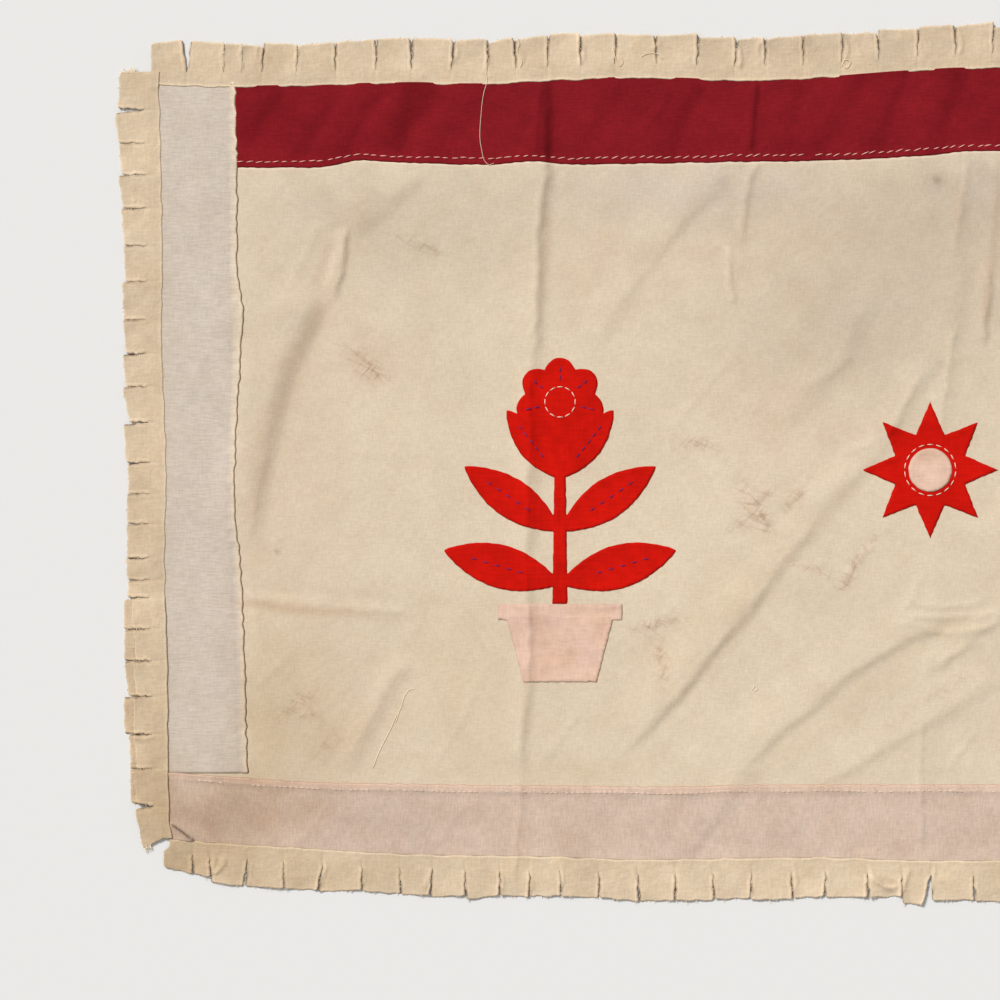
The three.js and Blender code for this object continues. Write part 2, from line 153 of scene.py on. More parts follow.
FOLDS = (
    # from, through, to, height, flank to the upper left, flank to the lower right, in mm
    ((323, 284), (268, 392), (241, 558), 5.6, 46, 27), ((425, 168), (386, 200), (346, 232), 2.0, 40, 18),
    ((234, 598), (310, 604), (410, 611), 1.7, 70, 13), ((725, 168), (682, 214), (634, 262), 1.8, 40, 18),
    ((549, 20), (534, 440), (516, 905), 0.5, 30, 14), ((868, 462), (830, 502), (790, 556), 0.9, 36, 17),
    ((815, 520), (780, 567), (738, 622), 1.7, 40, 12), ((766, 580), (706, 652), (616, 756), 2.7, 42, 14),
    ((950, 625), (864, 662), (722, 780), 2.3, 46, 14), ((1012, 670), (933, 716), (812, 786), 1.3, 34, 13),
    ((1012, 606), (962, 642), (920, 676), 1.2, 18, 9), ((950, 330), (880, 440), (800, 520), 1.5, 28, 16),
    ((880, 270), (835, 360), (770, 430), 1.3, 32, 20), ((640, 262), (618, 300), (592, 350), 1.0, 32, 18),
    ((415, 650), (375, 712), (345, 775), 1.5, 22, 14), ((762, 756), (715, 810), (676, 866), 1.5, 25, 16),
    ((966, 140), (956, 300), (944, 440), 0.8, 22, 12),
    ((1190, 60), (1186, 400), (1180, 860), 1.8, 18, 14),
    ((1150, 330), (1080, 440), (985, 560), 2.7, 36, 22),
    ((1330, 360), (1240, 520), (1110, 690), 3.4, 40, 24),
    ((1480, 470), (1400, 600), (1290, 760), 3.0, 38, 24),
    ((1500, 150), (1440, 250), (1360, 360), 2.2, 34, 22),
)
CREASES = (
    # the same for creases, which are sharp at the crest
    ((348, 226), (344, 262), (336, 302), 3.4, 22, 5), ((336, 248), (335, 268), (330, 290), 1.3, 6, 4),
    ((321, 222), (305, 255), (286, 294), 0.7, 13, 9), ((268, 440), (258, 495), (244, 552), 0.8, 9, 6),
    ((549, 76), (539, 240), (532, 376), 3.4, 60, 12), ((545, 160), (537.5, 250), (532, 320), 0.9, 8, 5),
    ((540, 316), (534, 326), (528, 340), 1.1, 6, 4), ((533, 350), (528, 460), (527, 580), 2.7, 34, 14),
    ((527, 560), (529, 660), (520, 790), 2.0, 24, 9), ((521, 770), (518, 830), (515, 897), 1.2, 14, 6),
    ((764, 160), (748, 190), (743, 250), 1.9, 14, 6), ((715, 208), (726, 218), (735, 232), 0.7, 6, 4),
    ((731, 244), (732, 275), (736, 310), 1.9, 8, 4), ((828, 508), (790, 554), (742, 622), 0.6, 9, 5),
    ((735, 622), (706, 660), (664, 712), 0.9, 9, 5), ((700, 668), (662, 712), (613, 760), 0.5, 11, 7),
    ((945, 628), (880, 656), (818, 704), 0.5, 10, 6), ((830, 694), (780, 735), (734, 776), 0.4, 11, 6),
    ((1004, 668), (945, 708), (880, 748), 0.4, 10, 6), ((890, 742), (850, 766), (812, 784), 0.5, 10, 6),
    ((976, 732), (962, 752), (946, 776), 0.9, 8, 6), ((996, 622), (960, 650), (934, 672), 0.8, 7, 5),
    ((723, 797), (706, 827), (687, 857), 0.4, 9, 7), ((407, 660), (374, 712), (347, 767), 0.6, 10, 7),
    ((580, 707), (561, 740), (540, 767), 0.5, 9, 6), ((713, 193), (655, 257), (607, 320), 0.5, 12, 8),
    ((922, 372), (903, 412), (880, 438), 1.2, 10, 6), ((880, 434), (862, 446), (838, 456), 0.7, 10, 6),
    ((852, 352), (836, 368), (816, 388), 1.0, 12, 8), ((867, 300), (835, 360), (793, 400), 0.5, 12, 8),
    ((740, 347), (707, 388), (673, 427), 0.5, 12, 8), ((222, 615), (232, 614), (243, 617), 0.9, 5, 4),
    ((330, 606), (368, 610), (408, 610), 0.9, 8, 5), ((999, 150), (994, 215), (990, 276), 1.0, 16, 8),
    ((991, 258), (987, 308), (984, 350), 2.5, 22, 5), ((966, 150), (962, 205), (956, 260), 1.3, 7, 4.5),
    ((957, 326), (948, 372), (944, 442), 1.4, 7, 5), ((933, 398), (939, 404), (944, 414), 0.9, 6, 4),
    ((930, 567), (912, 598), (893, 620), 0.8, 8, 6), ((900, 612), (940, 618), (1002, 612), 1.3, 9, 6),
    ((918, 634), (960, 634), (1006, 621), 1.5, 10, 6), ((936, 664), (958, 651), (986, 641), 1.0, 8, 5),
    ((893, 622), (912, 624), (930, 634), 0.9, 8, 5), ((908, 596), (945, 606), (990, 596), 1.0, 8, 5),
    ((923, 707), (921, 780), (920, 862), 1.1, 8, 5), ((738, 484), (755, 505), (767, 528), 1.2, 6, 4),
    ((770, 486), (758, 500), (742, 512), 0.8, 6, 4), ((748, 520), (740, 527), (730, 530), 0.7, 5, 4),
    ((798, 571), (812, 569), (828, 564), 0.7, 5, 4), ((874, 545), (858, 562), (840, 588), 1.4, 6, 4),
    ((805, 575), (812, 580), (818, 590), 0.6, 5, 4), ((636, 628), (652, 624), (668, 623), 0.8, 5, 4),
    ((657, 644), (660, 660), (664, 678), 0.8, 5, 4), ((345, 345), (361, 356), (376, 374), 0.8, 6, 4),
    ((352, 366), (364, 372), (384, 374), 0.6, 5, 4), ((404, 226), (414, 240), (432, 248), 0.7, 6, 4),
    ((398, 246), (415, 244), (428, 236), 0.5, 5, 4), ((686, 438), (697, 444), (710, 446), 0.7, 6, 4),
    ((808, 478), (797, 494), (782, 508), 0.8, 6, 4), ((440, 320), (452, 352), (470, 380), 0.4, 9, 7),
    ((610, 560), (640, 580), (676, 590), 0.4, 8, 6), ((288, 712), (302, 702), (318, 692), 0.9, 6, 4),
    ((300, 718), (308, 712), (320, 712), 0.7, 5, 4), ((300, 700), (318, 728), (325, 765), 0.5, 9, 6),
    ((470, 690), (458, 725), (430, 770), 0.5, 9, 7), ((246, 560), (262, 640), (290, 700), 0.4, 9, 7),
    ((250, 690), (272, 672), (300, 640), 0.6, 8, 5), ((360, 560), (372, 590), (380, 606), 0.5, 7, 5),
)
UNIT_MM = 1000 * PLAN_UNIT          # millimetres to a plan unit
RIDGE_STEPS = 10                    # straight steps along the curve of a fold or crease
RIDGE_END = 0.18                    # share of its length over which it dies away
SLACK = 0.35                        # mm that the cloth stands off the floor between folds
SOFT_SWELL = 0.25                   # mm that it swells between them
GROUND_COLUMNS = (9, 273, 57)       # across the fly band, the seen field and the unseen field
GROUND_ROWS = (9, 222, 9)           # down the top band, the field and the foot band
GRID_SPAN = 3                       # face cells to one cell of the underside
ONE_TURN = 6.28                     # radians in one wave of a ripple
WIDE_STAIN = 24                     # plan units from which a stain's edge wanders in full
STAINS_AND_FOLD_SHADE = {
    # kind: colour multiplier, and rows of x, y, half length, half width, turn in degrees, strength
    "pink": ((0.955, 0.91, 0.90), (
        (700, 250, 50, 26, -40, 0.4), (976, 250, 40, 60, 0, 0.5), (775, 430, 36, 46, 0, 0.5),
        (870, 428, 40, 20, -20, 0.5), (800, 288, 36, 18, 0, 0.4), (300, 330, 90, 44, -60, 0.35),
        (362, 215, 34, 22, 0, 0.7), (385, 362, 40, 24, 10, 0.7), (590, 260, 60, 60, 0, 0.6),
        (820, 230, 130, 50, -5, 0.6), (800, 380, 90, 60, -25, 0.5), (290, 500, 60, 120, 10, 0.6),
        (350, 730, 60, 40, -55, 0.5), (655, 640, 26, 18, 60, 0.4), (700, 680, 30, 20, 0, 0.2),
        (760, 56, 60, 20, 0, 0.3), (1350, 650, 100, 40, -40, 0.6),
    )),
    "grey": ((0.90, 0.90, 0.91), (
        (262, 380, 90, 22, -66, 0.5), (250, 400, 90, 14, -84, 0.5), (524, 215, 70, 30, 90, 0.5),
        (742, 205, 60, 34, 0, 0.5), (900, 210, 130, 56, 0, 0.55), (330, 596, 90, 8, 3, 0.5),
        (214, 812, 70, 26, 0, 0.5), (840, 312, 30, 26, 0, 0.5), (332, 200, 48, 30, 0, 0.85),
        (392, 256, 36, 26, 0, 0.55), (268, 322, 34, 36, 0, 0.85), (516, 190, 64, 22, 0, 0.55),
        (880, 236, 50, 42, 0, 0.4), (1000, 318, 46, 40, 0, 0.8), (300, 250, 60, 70, 0, 0.35),
        (430, 230, 110, 50, 10, 0.8), (860, 320, 120, 80, -15, 1.2), (966, 205, 70, 60, 0, 1.05),
        (936, 181, 16, 11, 0, 0.9), (950, 740, 90, 30, -34, 0.35), (300, 720, 60, 60, 0, 0.4),
        (800, 590, 40, 18, 30, 0.4), (876, 330, 90, 60, -20, 0.35), (290, 720, 50, 60, 0, 0.35),
        (400, 820, 90, 30, 0, 0.5), (700, 830, 40, 26, -60, 0.4), (900, 50, 120, 22, -4, 0.5),
        (886, 886, 18, 8, 0, 0.4),
    )),
    "tan": ((0.94, 0.905, 0.85), (
        (462, 690, 62, 84, 0, 0.6), (336, 744, 40, 30, 0, 0.45), (455, 610, 60, 24, 0, 0.3),
        (720, 600, 100, 26, -44, 0.5), (640, 700, 90, 22, -44, 0.2), (860, 700, 110, 20, -38, 0.4),
        (290, 700, 60, 90, 0, 1.15), (262, 740, 20, 60, 0, 0.7), (560, 768, 140, 14, 0, 0.5),
        (215, 818, 60, 24, 5, 0.8), (950, 628, 50, 10, -6, 0.4), (560, 830, 70, 30, 0, 0.35),
        (300, 880, 80, 20, 5, 0.5), (150, 500, 22, 110, 0, 0.4), (270, 54, 30, 9, 0, 0.7),
        (175, 62, 22, 16, 0, 0.4), (1200, 400, 120, 60, -40, 0.5),
    )),
    "cool": ((0.90, 0.91, 0.96), (
        (648, 194, 92, 40, 0, 0.9), (770, 186, 80, 26, 0, 0.6), (992, 186, 34, 26, 0, 0.6),
    )),
    "brown": ((0.45, 0.38, 0.33), (
        (936, 180, 5, 4, 0, 0.5), (277, 552, 1.6, 1.6, 0, 1.0),
    )),
    "brownish": ((0.87, 0.83, 0.77), (
        (230, 812, 80, 40, 5, 1.0), (150, 770, 26, 100, 0, 1.0), (190, 862, 60, 24, 5, 1.1),
    )),
    "dirt": ((0.90, 0.84, 0.81), (
        (256, 802, 34, 7, -30, 0.22), (326, 814, 26, 6, 20, 0.2), (208, 818, 26, 7, 40, 0.25),
        (752, 505, 20, 7, 62, 0.52), (762, 497, 14, 3, -35, 0.48), (741, 525, 12, 4, -20, 0.42),
        (764, 517, 9, 3, 80, 0.42), (812, 569, 14, 3, 25, 0.6), (857, 562, 22, 3.5, -52, 0.6),
        (845, 588, 10, 4, -60, 0.4), (652, 624, 17, 3, -8, 0.7), (661, 661, 4, 16, -6, 0.6),
        (606, 582, 9, 4, 40, 0.6), (360, 358, 16, 5, 40, 0.55), (372, 372, 12, 4, 20, 0.5),
        (420, 245, 16, 4, 20, 0.5), (698, 445, 14, 4, 10, 0.5), (796, 497, 14, 4, -50, 0.5),
        (300, 702, 16, 6, -35, 0.45), (308, 716, 9, 4, 10, 0.35), (330, 745, 10, 5, -50, 0.4),
        (940, 690, 40, 4, -35, 0.25),
    )),
    # Painted shade: the fold rows darken the cloth along folds, creases and a curled tab, in place of the
    # shade there.
    "fold": ((0.92, 0.86, 0.83), (
        (282, 396, 74, 11, -66, 0.62), (312, 318, 36, 10, -58, 0.6), (257, 492, 50, 8, -74, 0.6),
        (324, 262, 26, 6, -75, 0.8), (893, 884, 14, 4, 20, 0.9), (342, 268, 26, 5, -80, 0.5),
        (546, 200, 60, 5, 92, 0.6), (541, 290, 50, 4.5, 95, 0.6), (534, 470, 80, 6, 92, 0.5),
        (528, 690, 70, 4, 92, 0.6), (312, 610, 80, 5.5, 5, 0.8), (262, 604, 26, 4, 6, 0.6),
        (306, 610, 64, 4.5, 5, 0.5), (986, 308, 34, 3.4, 92, 1.1), (996, 215, 60, 7, 93, 0.6),
        (746, 885, 7, 9, 0, 0.8), (958, 205, 36, 4, 95, 0.5), (746, 210, 34, 4, 98, 0.5),
        (700, 672, 100, 7, -49, 0.45), (800, 540, 90, 7, -47, 0.4),
    )),
    "pale": ((1.12, 1.13, 1.14), (
        (738, 492, 64, 46, -40, 0.45), (655, 570, 54, 40, 0, 0.35), (700, 742, 36, 34, -40, 0.5),
        (800, 882, 230, 26, 0, 1.0),
    )),
}
CRUMPLED_REACH = 1.6                # how much wider than the dirt its fine crumple lines reach
CRUMPLE_SOIL = (-0.5, -0.66, -0.74)     # what a dirty line adds to a colour multiplier of 1
# Noise cells to a metre along X, Y and Z, for the marks and the relief of every cotton.
GRAIN = (1000, 1000, 300)
BLOTCHES = (48, 48, 9)
CLOUDS = (9, 9, 4)
SOIL_PATCHES = (30, 30, 6)
RUMPLES = (40, 40, 12)
SPECKS = (90, 90, 20)


def along(rows, t):
    """A smooth line through rows of (place, value): on each stretch a cubic whose slope at a
    row is the slope between the rows on either side of it."""
    places, values = np.array(rows, float).T
    slopes = np.gradient(values, places)
    slopes[1:-1] = (values[2:] - values[:-2]) / (places[2:] - places[:-2])
    t = np.clip(t, places[0], places[-1])
    i = np.clip(np.searchsorted(places, t, side="right") - 1, 0, len(places) - 2)
    width = places[i + 1] - places[i]
    s = (t - places[i]) / width
    start = (2 * s**3 - 3 * s**2 + 1) * values[i] + (s**3 - 2 * s**2 + s) * width * slopes[i]
    end = (3 * s**2 - 2 * s**3) * values[i + 1] + (s**3 - s**2) * width * slopes[i + 1]
    return start + end


def smooth(edge_low, edge_high, value):
    """0 below the low edge and 1 above the high one, eased in between as 3s^2 - 2s^3."""
    s = np.clip((value - edge_low) / (edge_high - edge_low), 0, 1)
    return s * s * (3 - 2 * s)


def bell(value, width, middle=0):
    """1 where the value is the middle, falling off on both sides as e to the power of minus its
    squared distance in widths."""
    return np.exp(-(((value - middle) / width) ** 2))


def blend(share, colour):
    """Colour multiplier that runs from 1 to the colour as the share runs from 0 to 1."""
    return 1 + np.asarray(share)[..., None] * (np.array(colour) - 1)


def nearest_on(curve, px, py):
    """Distance of places from a line of straight steps, which side of it they are on, and the
    share of the way along it that they are nearest to."""
    best, side, place = np.full(px.shape, np.inf), np.zeros(px.shape), np.zeros(px.shape)
    for k in range(len(curve) - 1):
        dx, dy = curve[k + 1] - curve[k]
        gx, gy = px - curve[k, 0], py - curve[k, 1]
        share = np.clip((gx * dx + gy * dy) / (dx * dx + dy * dy), 0, 1)
        distance = np.hypot(gx - share * dx, gy - share * dy)
        closer = distance < best
        best = np.where(closer, distance, best)
        side = np.where(closer, gx * dy - gy * dx, side)
        place = np.where(closer, (k + share) / (len(curve) - 1), place)
    return best, side, place


def ridges(x, y, rows, power):
    """Height in mm at plan places of ridges, each along the curve with one bend through its
    three points. Across a ridge the height falls from its crest as (1 - d^power)^2, where d
    is the share of the flank, and it dies away at both ends."""
    height = np.zeros(np.shape(x))
    t = np.linspace(0, 1, RIDGE_STEPS + 1)[:, None]
    for start, through, end, crest, upper_flank, lower_flank in rows:
        a, m, b = (np.array(p, float) for p in (start, through, end))
        bend = 2 * m - (a + b) / 2
        curve = (1 - t) ** 2 * a + 2 * t * (1 - t) * bend + t**2 * b
        reach = max(upper_flank, lower_flank) / UNIT_MM
        low, high = curve.min(0) - reach, curve.max(0) + reach
        near = (x > low[0]) & (x < high[0]) & (y > low[1]) & (y < high[1])
        if near.any():
            away, side, place = nearest_on(curve, x[near], y[near])
            flank = np.where(side < 0, upper_flank, lower_flank) / UNIT_MM
            across = (1 - np.minimum(away / flank, 1) ** power) ** 2
            height[near] += crest * across * smooth(0, RIDGE_END, np.minimum(place, 1 - place))
    return height


def ripple(x, y, size, seed):
    """A smooth uneven value from about -1 to 1: five slanting sine waves of the given size in
    plan units, with turns, phases and stretches drawn from the seed."""
    draw = np.random.default_rng(seed)
    turns, phases, stretches = (draw.uniform(low, high, 5)
                                for low, high in ((0, np.pi), (0, ONE_TURN), (0.7, 1.6)))
    total = np.zeros(np.shape(x))
    for turn, phase, stretch in zip(turns, phases, stretches):
        total += np.sin((x * np.cos(turn) + y * np.sin(turn)) * ONE_TURN / (size * stretch) + phase)
    return total / 3


def rise(x, y):
    """Metres that the cloth stands off the floor: the long folds, round at the crest, and the
    short creases, sharp at the crest. Both wander a little from their drawn curves."""
    x_bent, y_bent = x + 2.2 * ripple(x, y, 80, 5), y + 2.2 * ripple(x, y, 80, 6)
    x_fine, y_fine = x_bent + 1.1 * ripple(x, y, 22, 7), y_bent + 1.1 * ripple(x, y, 22, 8)
    height = ridges(x_bent, y_bent, FOLDS, 2) + ridges(x_fine, y_fine, CREASES, 1)
    return 0.001 * np.maximum(SLACK + height + SOFT_SWELL * ripple(x, y, 120, 9), 0)


def stain_and_shade_shares(x, y, kinds=tuple(STAINS_AND_FOLD_SHADE), wider=1):
    """Each stain's or painted fold shade's colour multiplier and its share of 0 to 1 at plan places:
    a soft ellipse, with a wandering edge if it is wide."""
    warp_x = 9 * ripple(x, y, 60, 11) + 4 * ripple(x, y, 17, 12)
    warp_y = 9 * ripple(x, y, 55, 13) + 4 * ripple(x, y, 19, 14)
    for kind in kinds:
        tint, rows = STAINS_AND_FOLD_SHADE[kind]
        for cx, cy, half_length, half_width, turn, strength in rows:
            warp = min(1, min(half_length, half_width) / WIDE_STAIN)
            dx, dy = x + warp * warp_x - cx, y + warp * warp_y - cy
            turn = np.radians(turn)
            a = (dx * np.cos(turn) + dy * np.sin(turn)) / (half_length * wider)
            b = (-dx * np.sin(turn) + dy * np.cos(turn)) / (half_width * wider)
            yield tint, np.clip(strength * np.exp(-(a * a + b * b)), 0, 1)


def stained_and_fold_shaded(x, y):
    """Colour multiplier at plan places: each stain, and each row of painted fold shade, pulls the colour
    towards its tint.
    """
    tint = np.ones((*np.shape(x), 3))
    for stain_tint, share in stain_and_shade_shares(x, y):
        tint *= blend(share, stain_tint)
    return tint


def with_crumpling(tint, x, y):
    """The tint with an alpha: 1 where the cloth is smooth, falling to 0 where hard crumpling has
    left fine dirty lines."""
    crumpled = sum(share for _, share in stain_and_shade_shares(x, y, ("dirt",), CRUMPLED_REACH))
    return np.concatenate([tint, 1 - np.clip(1.2 * crumpled, 0, 1)[..., None]], -1)


def grid_faces(rows, columns):
    """Faces of a grid whose first index runs to +X and whose second runs to -Y, facing up."""
    at = np.arange(rows * columns).reshape(rows, columns)
    return np.stack([at[:-1, :-1], at[:-1, 1:], at[1:, 1:], at[1:, :-1]], -1).reshape(-1, 4)


def make_mesh(name, points, faces, smooth_faces, tint, material):
    """An object at the origin from points, faces, the number of its first faces that are
    smooth, and a colour multiplier for each point."""
    mesh = bpy.data.meshes.new(name)
    mesh.from_pydata(points.tolist(), [], faces)
    mesh.polygons.foreach_set("use_smooth", np.arange(len(mesh.polygons)) < smooth_faces)
    colours = mesh.color_attributes.new("tint", "FLOAT_COLOR", "POINT")
    values = np.ones((len(points), 4))
    values[:, :tint.shape[1]] = tint
    colours.data.foreach_set("color", values.ravel())
    mesh.materials.append(material)
    piece = add_object(name, mesh)
    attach(piece, "root")
    return piece


def wide_sheet(name, top, thickness, tint, material):
    """A closed sheet from a grid of face points. Its underside has one point for every GRID_SPAN
    face points, as low as the lowest face point near it less the thickness, so that it never
    comes through the face, and each wall face joins one underside edge to as many face edges."""
    rows, columns = top.shape[:2]
    every = np.s_[::GRID_SPAN, ::GRID_SPAN]
    lowest = top[..., 2]
    for axis in (0, 1):
        margin = [(GRID_SPAN, GRID_SPAN) if axis == a else (0, 0) for a in (0, 1)]
        padded = np.pad(lowest, margin, mode="edge")
        windows = np.lib.stride_tricks.sliding_window_view(padded, 2 * GRID_SPAN + 1, axis=axis)
        lowest = windows.min(-1)
    under = top[every].copy()
    under[..., 2] = np.maximum(lowest[every] - thickness, 0)
    upper = np.arange(rows * columns).reshape(rows, columns)
    lower = rows * columns + np.arange(under.shape[0] * under.shape[1]).reshape(under.shape[:2])

    def rim(at):
        return np.concatenate([at[0, :-1], at[:-1, -1], at[-1, :0:-1], at[:0:-1, 0]])

    upper_rim = rim(upper).reshape(-1, GRID_SPAN)
    lower_rim = rim(lower)
    walls = np.column_stack([lower_rim, np.roll(lower_rim, -1), np.roll(upper_rim[:, 0], -1),
                             upper_rim[:, ::-1]])
    face = grid_faces(rows, columns)
    back = grid_faces(*under.shape[:2])[:, ::-1] + rows * columns
    points = np.concatenate([top.reshape(-1, 3), under.reshape(-1, 3)])
    tints = np.concatenate([part.reshape(-1, tint.shape[-1]) for part in (tint, tint[every])])
    faces = face.tolist() + back.tolist() + walls.tolist()
    return make_mesh(name, points, faces, len(face) + len(back), tints, material)


def cotton(name, colour, yarn=(60, 380), level_share=0.5, depth=0.05, blotch=0.05, cloud=0.05,
           soil=(0.93, 0.885, 0.83), crumple=0.2, gloss=0.1, crumple_lines=0.0):
    """Plain-weave cotton. The colour is the piece's own tint times streaks of thick and thin yarn
    both ways (yarn holds their counts per metre along and across), fine grain, blotches and
    clouds of age, and a soil colour that gathers in patches. Yarn and crumpling also bump it.
    Fine dirty lines, as dark as crumple_lines says, show where the tint's alpha is below 1."""
    made = bpy.data.materials.new(name)
    made.use_nodes = True
    tree = made.node_tree
    shader = tree.nodes["Principled BSDF"]
    where = link_node(tree, "ShaderNodeTexCoord").outputs["Object"]

    def math(operation, *values):
        return link_node(tree, "ShaderNodeMath", dict(enumerate(values)), operation=operation).outputs[0]

    def colour_math(operation, *values):
        return link_node(tree, "ShaderNodeVectorMath", dict(enumerate(values)),
                         operation=operation).outputs["Vector"]

    def product(*values):
        total = values[0]
        for value in values[1:]:
            total = math("MULTIPLY", total, value)
        return total

    def noise(size, shift, detail=2.0):
        placed = link_node(tree, "ShaderNodeMapping", {
            "Vector": where, "Location": (shift, shift, 0), "Scale": size})
        return link_node(tree, "ShaderNodeTexNoise", {
            "Vector": placed.outputs[0], "Scale": 1.0, "Detail": detail, "Roughness": 0.6}).outputs["Fac"]

    def scaled(value, spread, low=0.35, high=0.65):
        return link_node(tree, "ShaderNodeMapRange", {
            "Value": value, "From Min": low, "From Max": high,
            "To Min": 1 - spread, "To Max": 1 + spread}).outputs[0]

    level_yarn = product(noise((*yarn, 20), 3.1), level_share)
    weave = math("MULTIPLY_ADD", noise((*yarn[::-1], 20), 7.7), 1 - level_share, level_yarn)
    light = product(scaled(weave, depth, 0.4, 0.6), scaled(noise(GRAIN, 1.3), depth * 0.6),
                    scaled(noise(BLOTCHES, 9.4, 4.0), blotch), scaled(noise(CLOUDS, 5.2), cloud))
    gathered = link_node(tree, "ShaderNodeValToRGB", {"Fac": noise(SOIL_PATCHES, 2.6, 5.0)})
    for stop, position, stop_colour in zip(gathered.color_ramp.elements, (0.34, 0.6), (soil, (1, 1, 1))):
        stop.position = position
        stop.color = (*stop_colour, 1)
    tint = link_node(tree, "ShaderNodeAttribute", attribute_name="tint")
    tinted = colour_math("MULTIPLY", tint.outputs["Color"], tuple(colour))
    if crumple_lines:
        crumpled = math("SUBTRACT", 1.0, tint.outputs["Alpha"])
        for turn, shift in ((0.9, 0.3), (-0.5, 4.1)):
            slanted = link_node(tree, "ShaderNodeMapping", {
                "Vector": where, "Location": (shift, shift, 0), "Rotation": (0, 0, turn),
                "Scale": (0.045, 0.0125, 0.05)}, vector_type="TEXTURE")
            field = link_node(tree, "ShaderNodeTexNoise", {
                "Vector": slanted.outputs[0], "Scale": 1.0, "Detail": 2.0}).outputs["Fac"]
            line = product(math("COMPARE", field, 0.5, 0.035), crumpled, noise(SPECKS, shift),
                           2 * crumple_lines)
            browned = colour_math("MULTIPLY_ADD", line, CRUMPLE_SOIL, (1, 1, 1))
            tinted = colour_math("MULTIPLY", tinted, browned)
    final = colour_math("MULTIPLY", colour_math("MULTIPLY", tinted, gathered.outputs["Color"]), light)
    tree.links.new(final, shader.inputs["Base Color"])
    low_bump = link_node(tree, "ShaderNodeBump", {
        "Height": noise(RUMPLES, 4.4, 5.0), "Strength": crumple, "Distance": 0.004})
    yarn_bump = link_node(tree, "ShaderNodeBump", {
        "Height": weave, "Strength": 0.35, "Distance": 0.0004, "Normal": low_bump.outputs[0]})
    tree.links.new(yarn_bump.outputs[0], shader.inputs["Normal"])
    shader.inputs["Roughness"].default_value = 0.93
    shader.inputs["Specular IOR Level"].default_value = gloss
    return made


def shade(red, green, blue):
    """The linear colour of one given in screen values from 0 to 255."""
    value = np.array((red, green, blue)) / 255
    return tuple(np.where(value <= 0.04045, value / 12.92, ((value + 0.055) / 1.055) ** 2.4))


def line_shares(cells):
    """Shares that run on from line to line, each gap between two lines cut into its cells."""
    gaps = [np.linspace(k, k + 1, count, endpoint=False) for k, count in enumerate(cells)]
    return np.concatenate([*gaps, [len(cells)]])


def between_lines(share, lines):
    """Places on the lines at whole shares, and evenly between two of them at the others."""
    k = np.minimum(share.astype(int), len(lines) - 2)
    start, stop = (np.take_along_axis(lines, k[None] + step, 0)[0] for step in (0, 1))
    return start + (share - k) * (stop - start)


u, v = np.meshgrid(line_shares(GROUND_COLUMNS), line_shares(GROUND_ROWS), indexing="ij")
x, y = 300 + 400 * u, 84 + 250 * v      # even at first, then fitted between the seams in turns
for _ in range(3):
    y = between_lines(v, np.stack([along(line, x) for line in (
        TOP_SEAM, TOP_BAND_EDGE, FOOT_BAND_EDGE, FOOT_SEAM)]))
    x = between_lines(u, np.stack([along(FLY_SEAM, y), along(FLY_BAND_EDGE, y),
                                   np.full(y.shape, SEEN_TO_X), np.full(y.shape, HOIST_X)]))
z = rise(x, y) + GROUND_PLY + HEM_STEP * smooth(*HOIST_HEM, HOIST_X - x)
cream = cotton("cream_cotton_cloth", shade(218, 202, 179), yarn=(110, 520), blotch=0.016, cloud=0.02,
               soil=(0.97, 0.95, 0.925), crumple=0.22, crumple_lines=0.34)
# Painted highlight: the ground is lightened in a thin line just under the crimson band's edge, against the
# shadow the band casts there.
painted_light_below_band = smooth(3.0, 0, np.abs(y - along(TOP_BAND_EDGE, x)))
ground_tint = with_crumpling(stained_and_fold_shaded(x, y) * blend(painted_light_below_band, (1.26, 1.24, 1.24)), x, y)
ground = wide_sheet("ground_cloth", points_at(x, y, z), GROUND_PLY, ground_tint, cream)
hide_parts("ground")

# The three bands: straight strips of crimson, grey-beige and pinkish beige cotton. Each has
# its free edge turned under in a narrow hem that puckers at the hand stitches, and its outer
# edge is caught under the fringe. The grey one is paler at its hem, and so is the pink one.
BAND_PLY = 0.0006
BAND_LIFT = GROUND_PLY + LAYER_GAP
BAND_FACE = BAND_LIFT + BAND_PLY
HEM = 7.0                           # plan units
HEM_FOLD = 0.0004                   # metres that the doubled cloth stands up
HEM_ROUNDING = 0.0006               # metres that its edge rounds down
EDGE_STEPS = (0, 0.45, 0.9, 1.4, 2.2)
BAND_CELL = 2.1
ROUGH_CELL = 9.0                    # the same past the seen part
TOP_BAND_START = 236
HEM_STITCHES = {"top": 6.2, "fly": 7.5, "foot": 6.8}    # plan units from a free edge to its stitches
TOP_CREASES = (
    # from, through, to, height, flank to the upper left, flank to the lower right, in mm
    ((757, 78), (753, 115), (750, 156), 2.6, 12, 6), ((541, 84), (537, 120), (536, 163), 1.6, 8, 5),
    ((668, 84), (662, 108), (640, 130), 0.8, 12, 7),
)
TOP_SOFT_CREASES = (
    ((378, 80), (352, 118), (326, 166), 1.9, 26, 18), ((280, 80), (258, 108), (236, 146), 2.0, 24, 18),
    ((432, 74), (404, 108), (378, 156), 3.2, 32, 22), ((700, 70), (676, 112), (660, 164), 2.0, 28, 18),
    ((874, 60), (838, 105), (800, 164), 1.7, 30, 20), ((624, 74), (598, 108), (570, 150), 1.3, 24, 16),
    ((906, 54), (884, 100), (868, 156), 2.1, 30, 18), ((486, 72), (452, 118), (424, 166), 1.5, 28, 20),
    ((796, 74), (788, 110), (778, 160), 0.8, 20, 14), ((960, 52), (942, 104), (926, 160), 2.2, 30, 18),
    ((340, 80), (312, 118), (286, 164), 1.1, 24, 16),
)
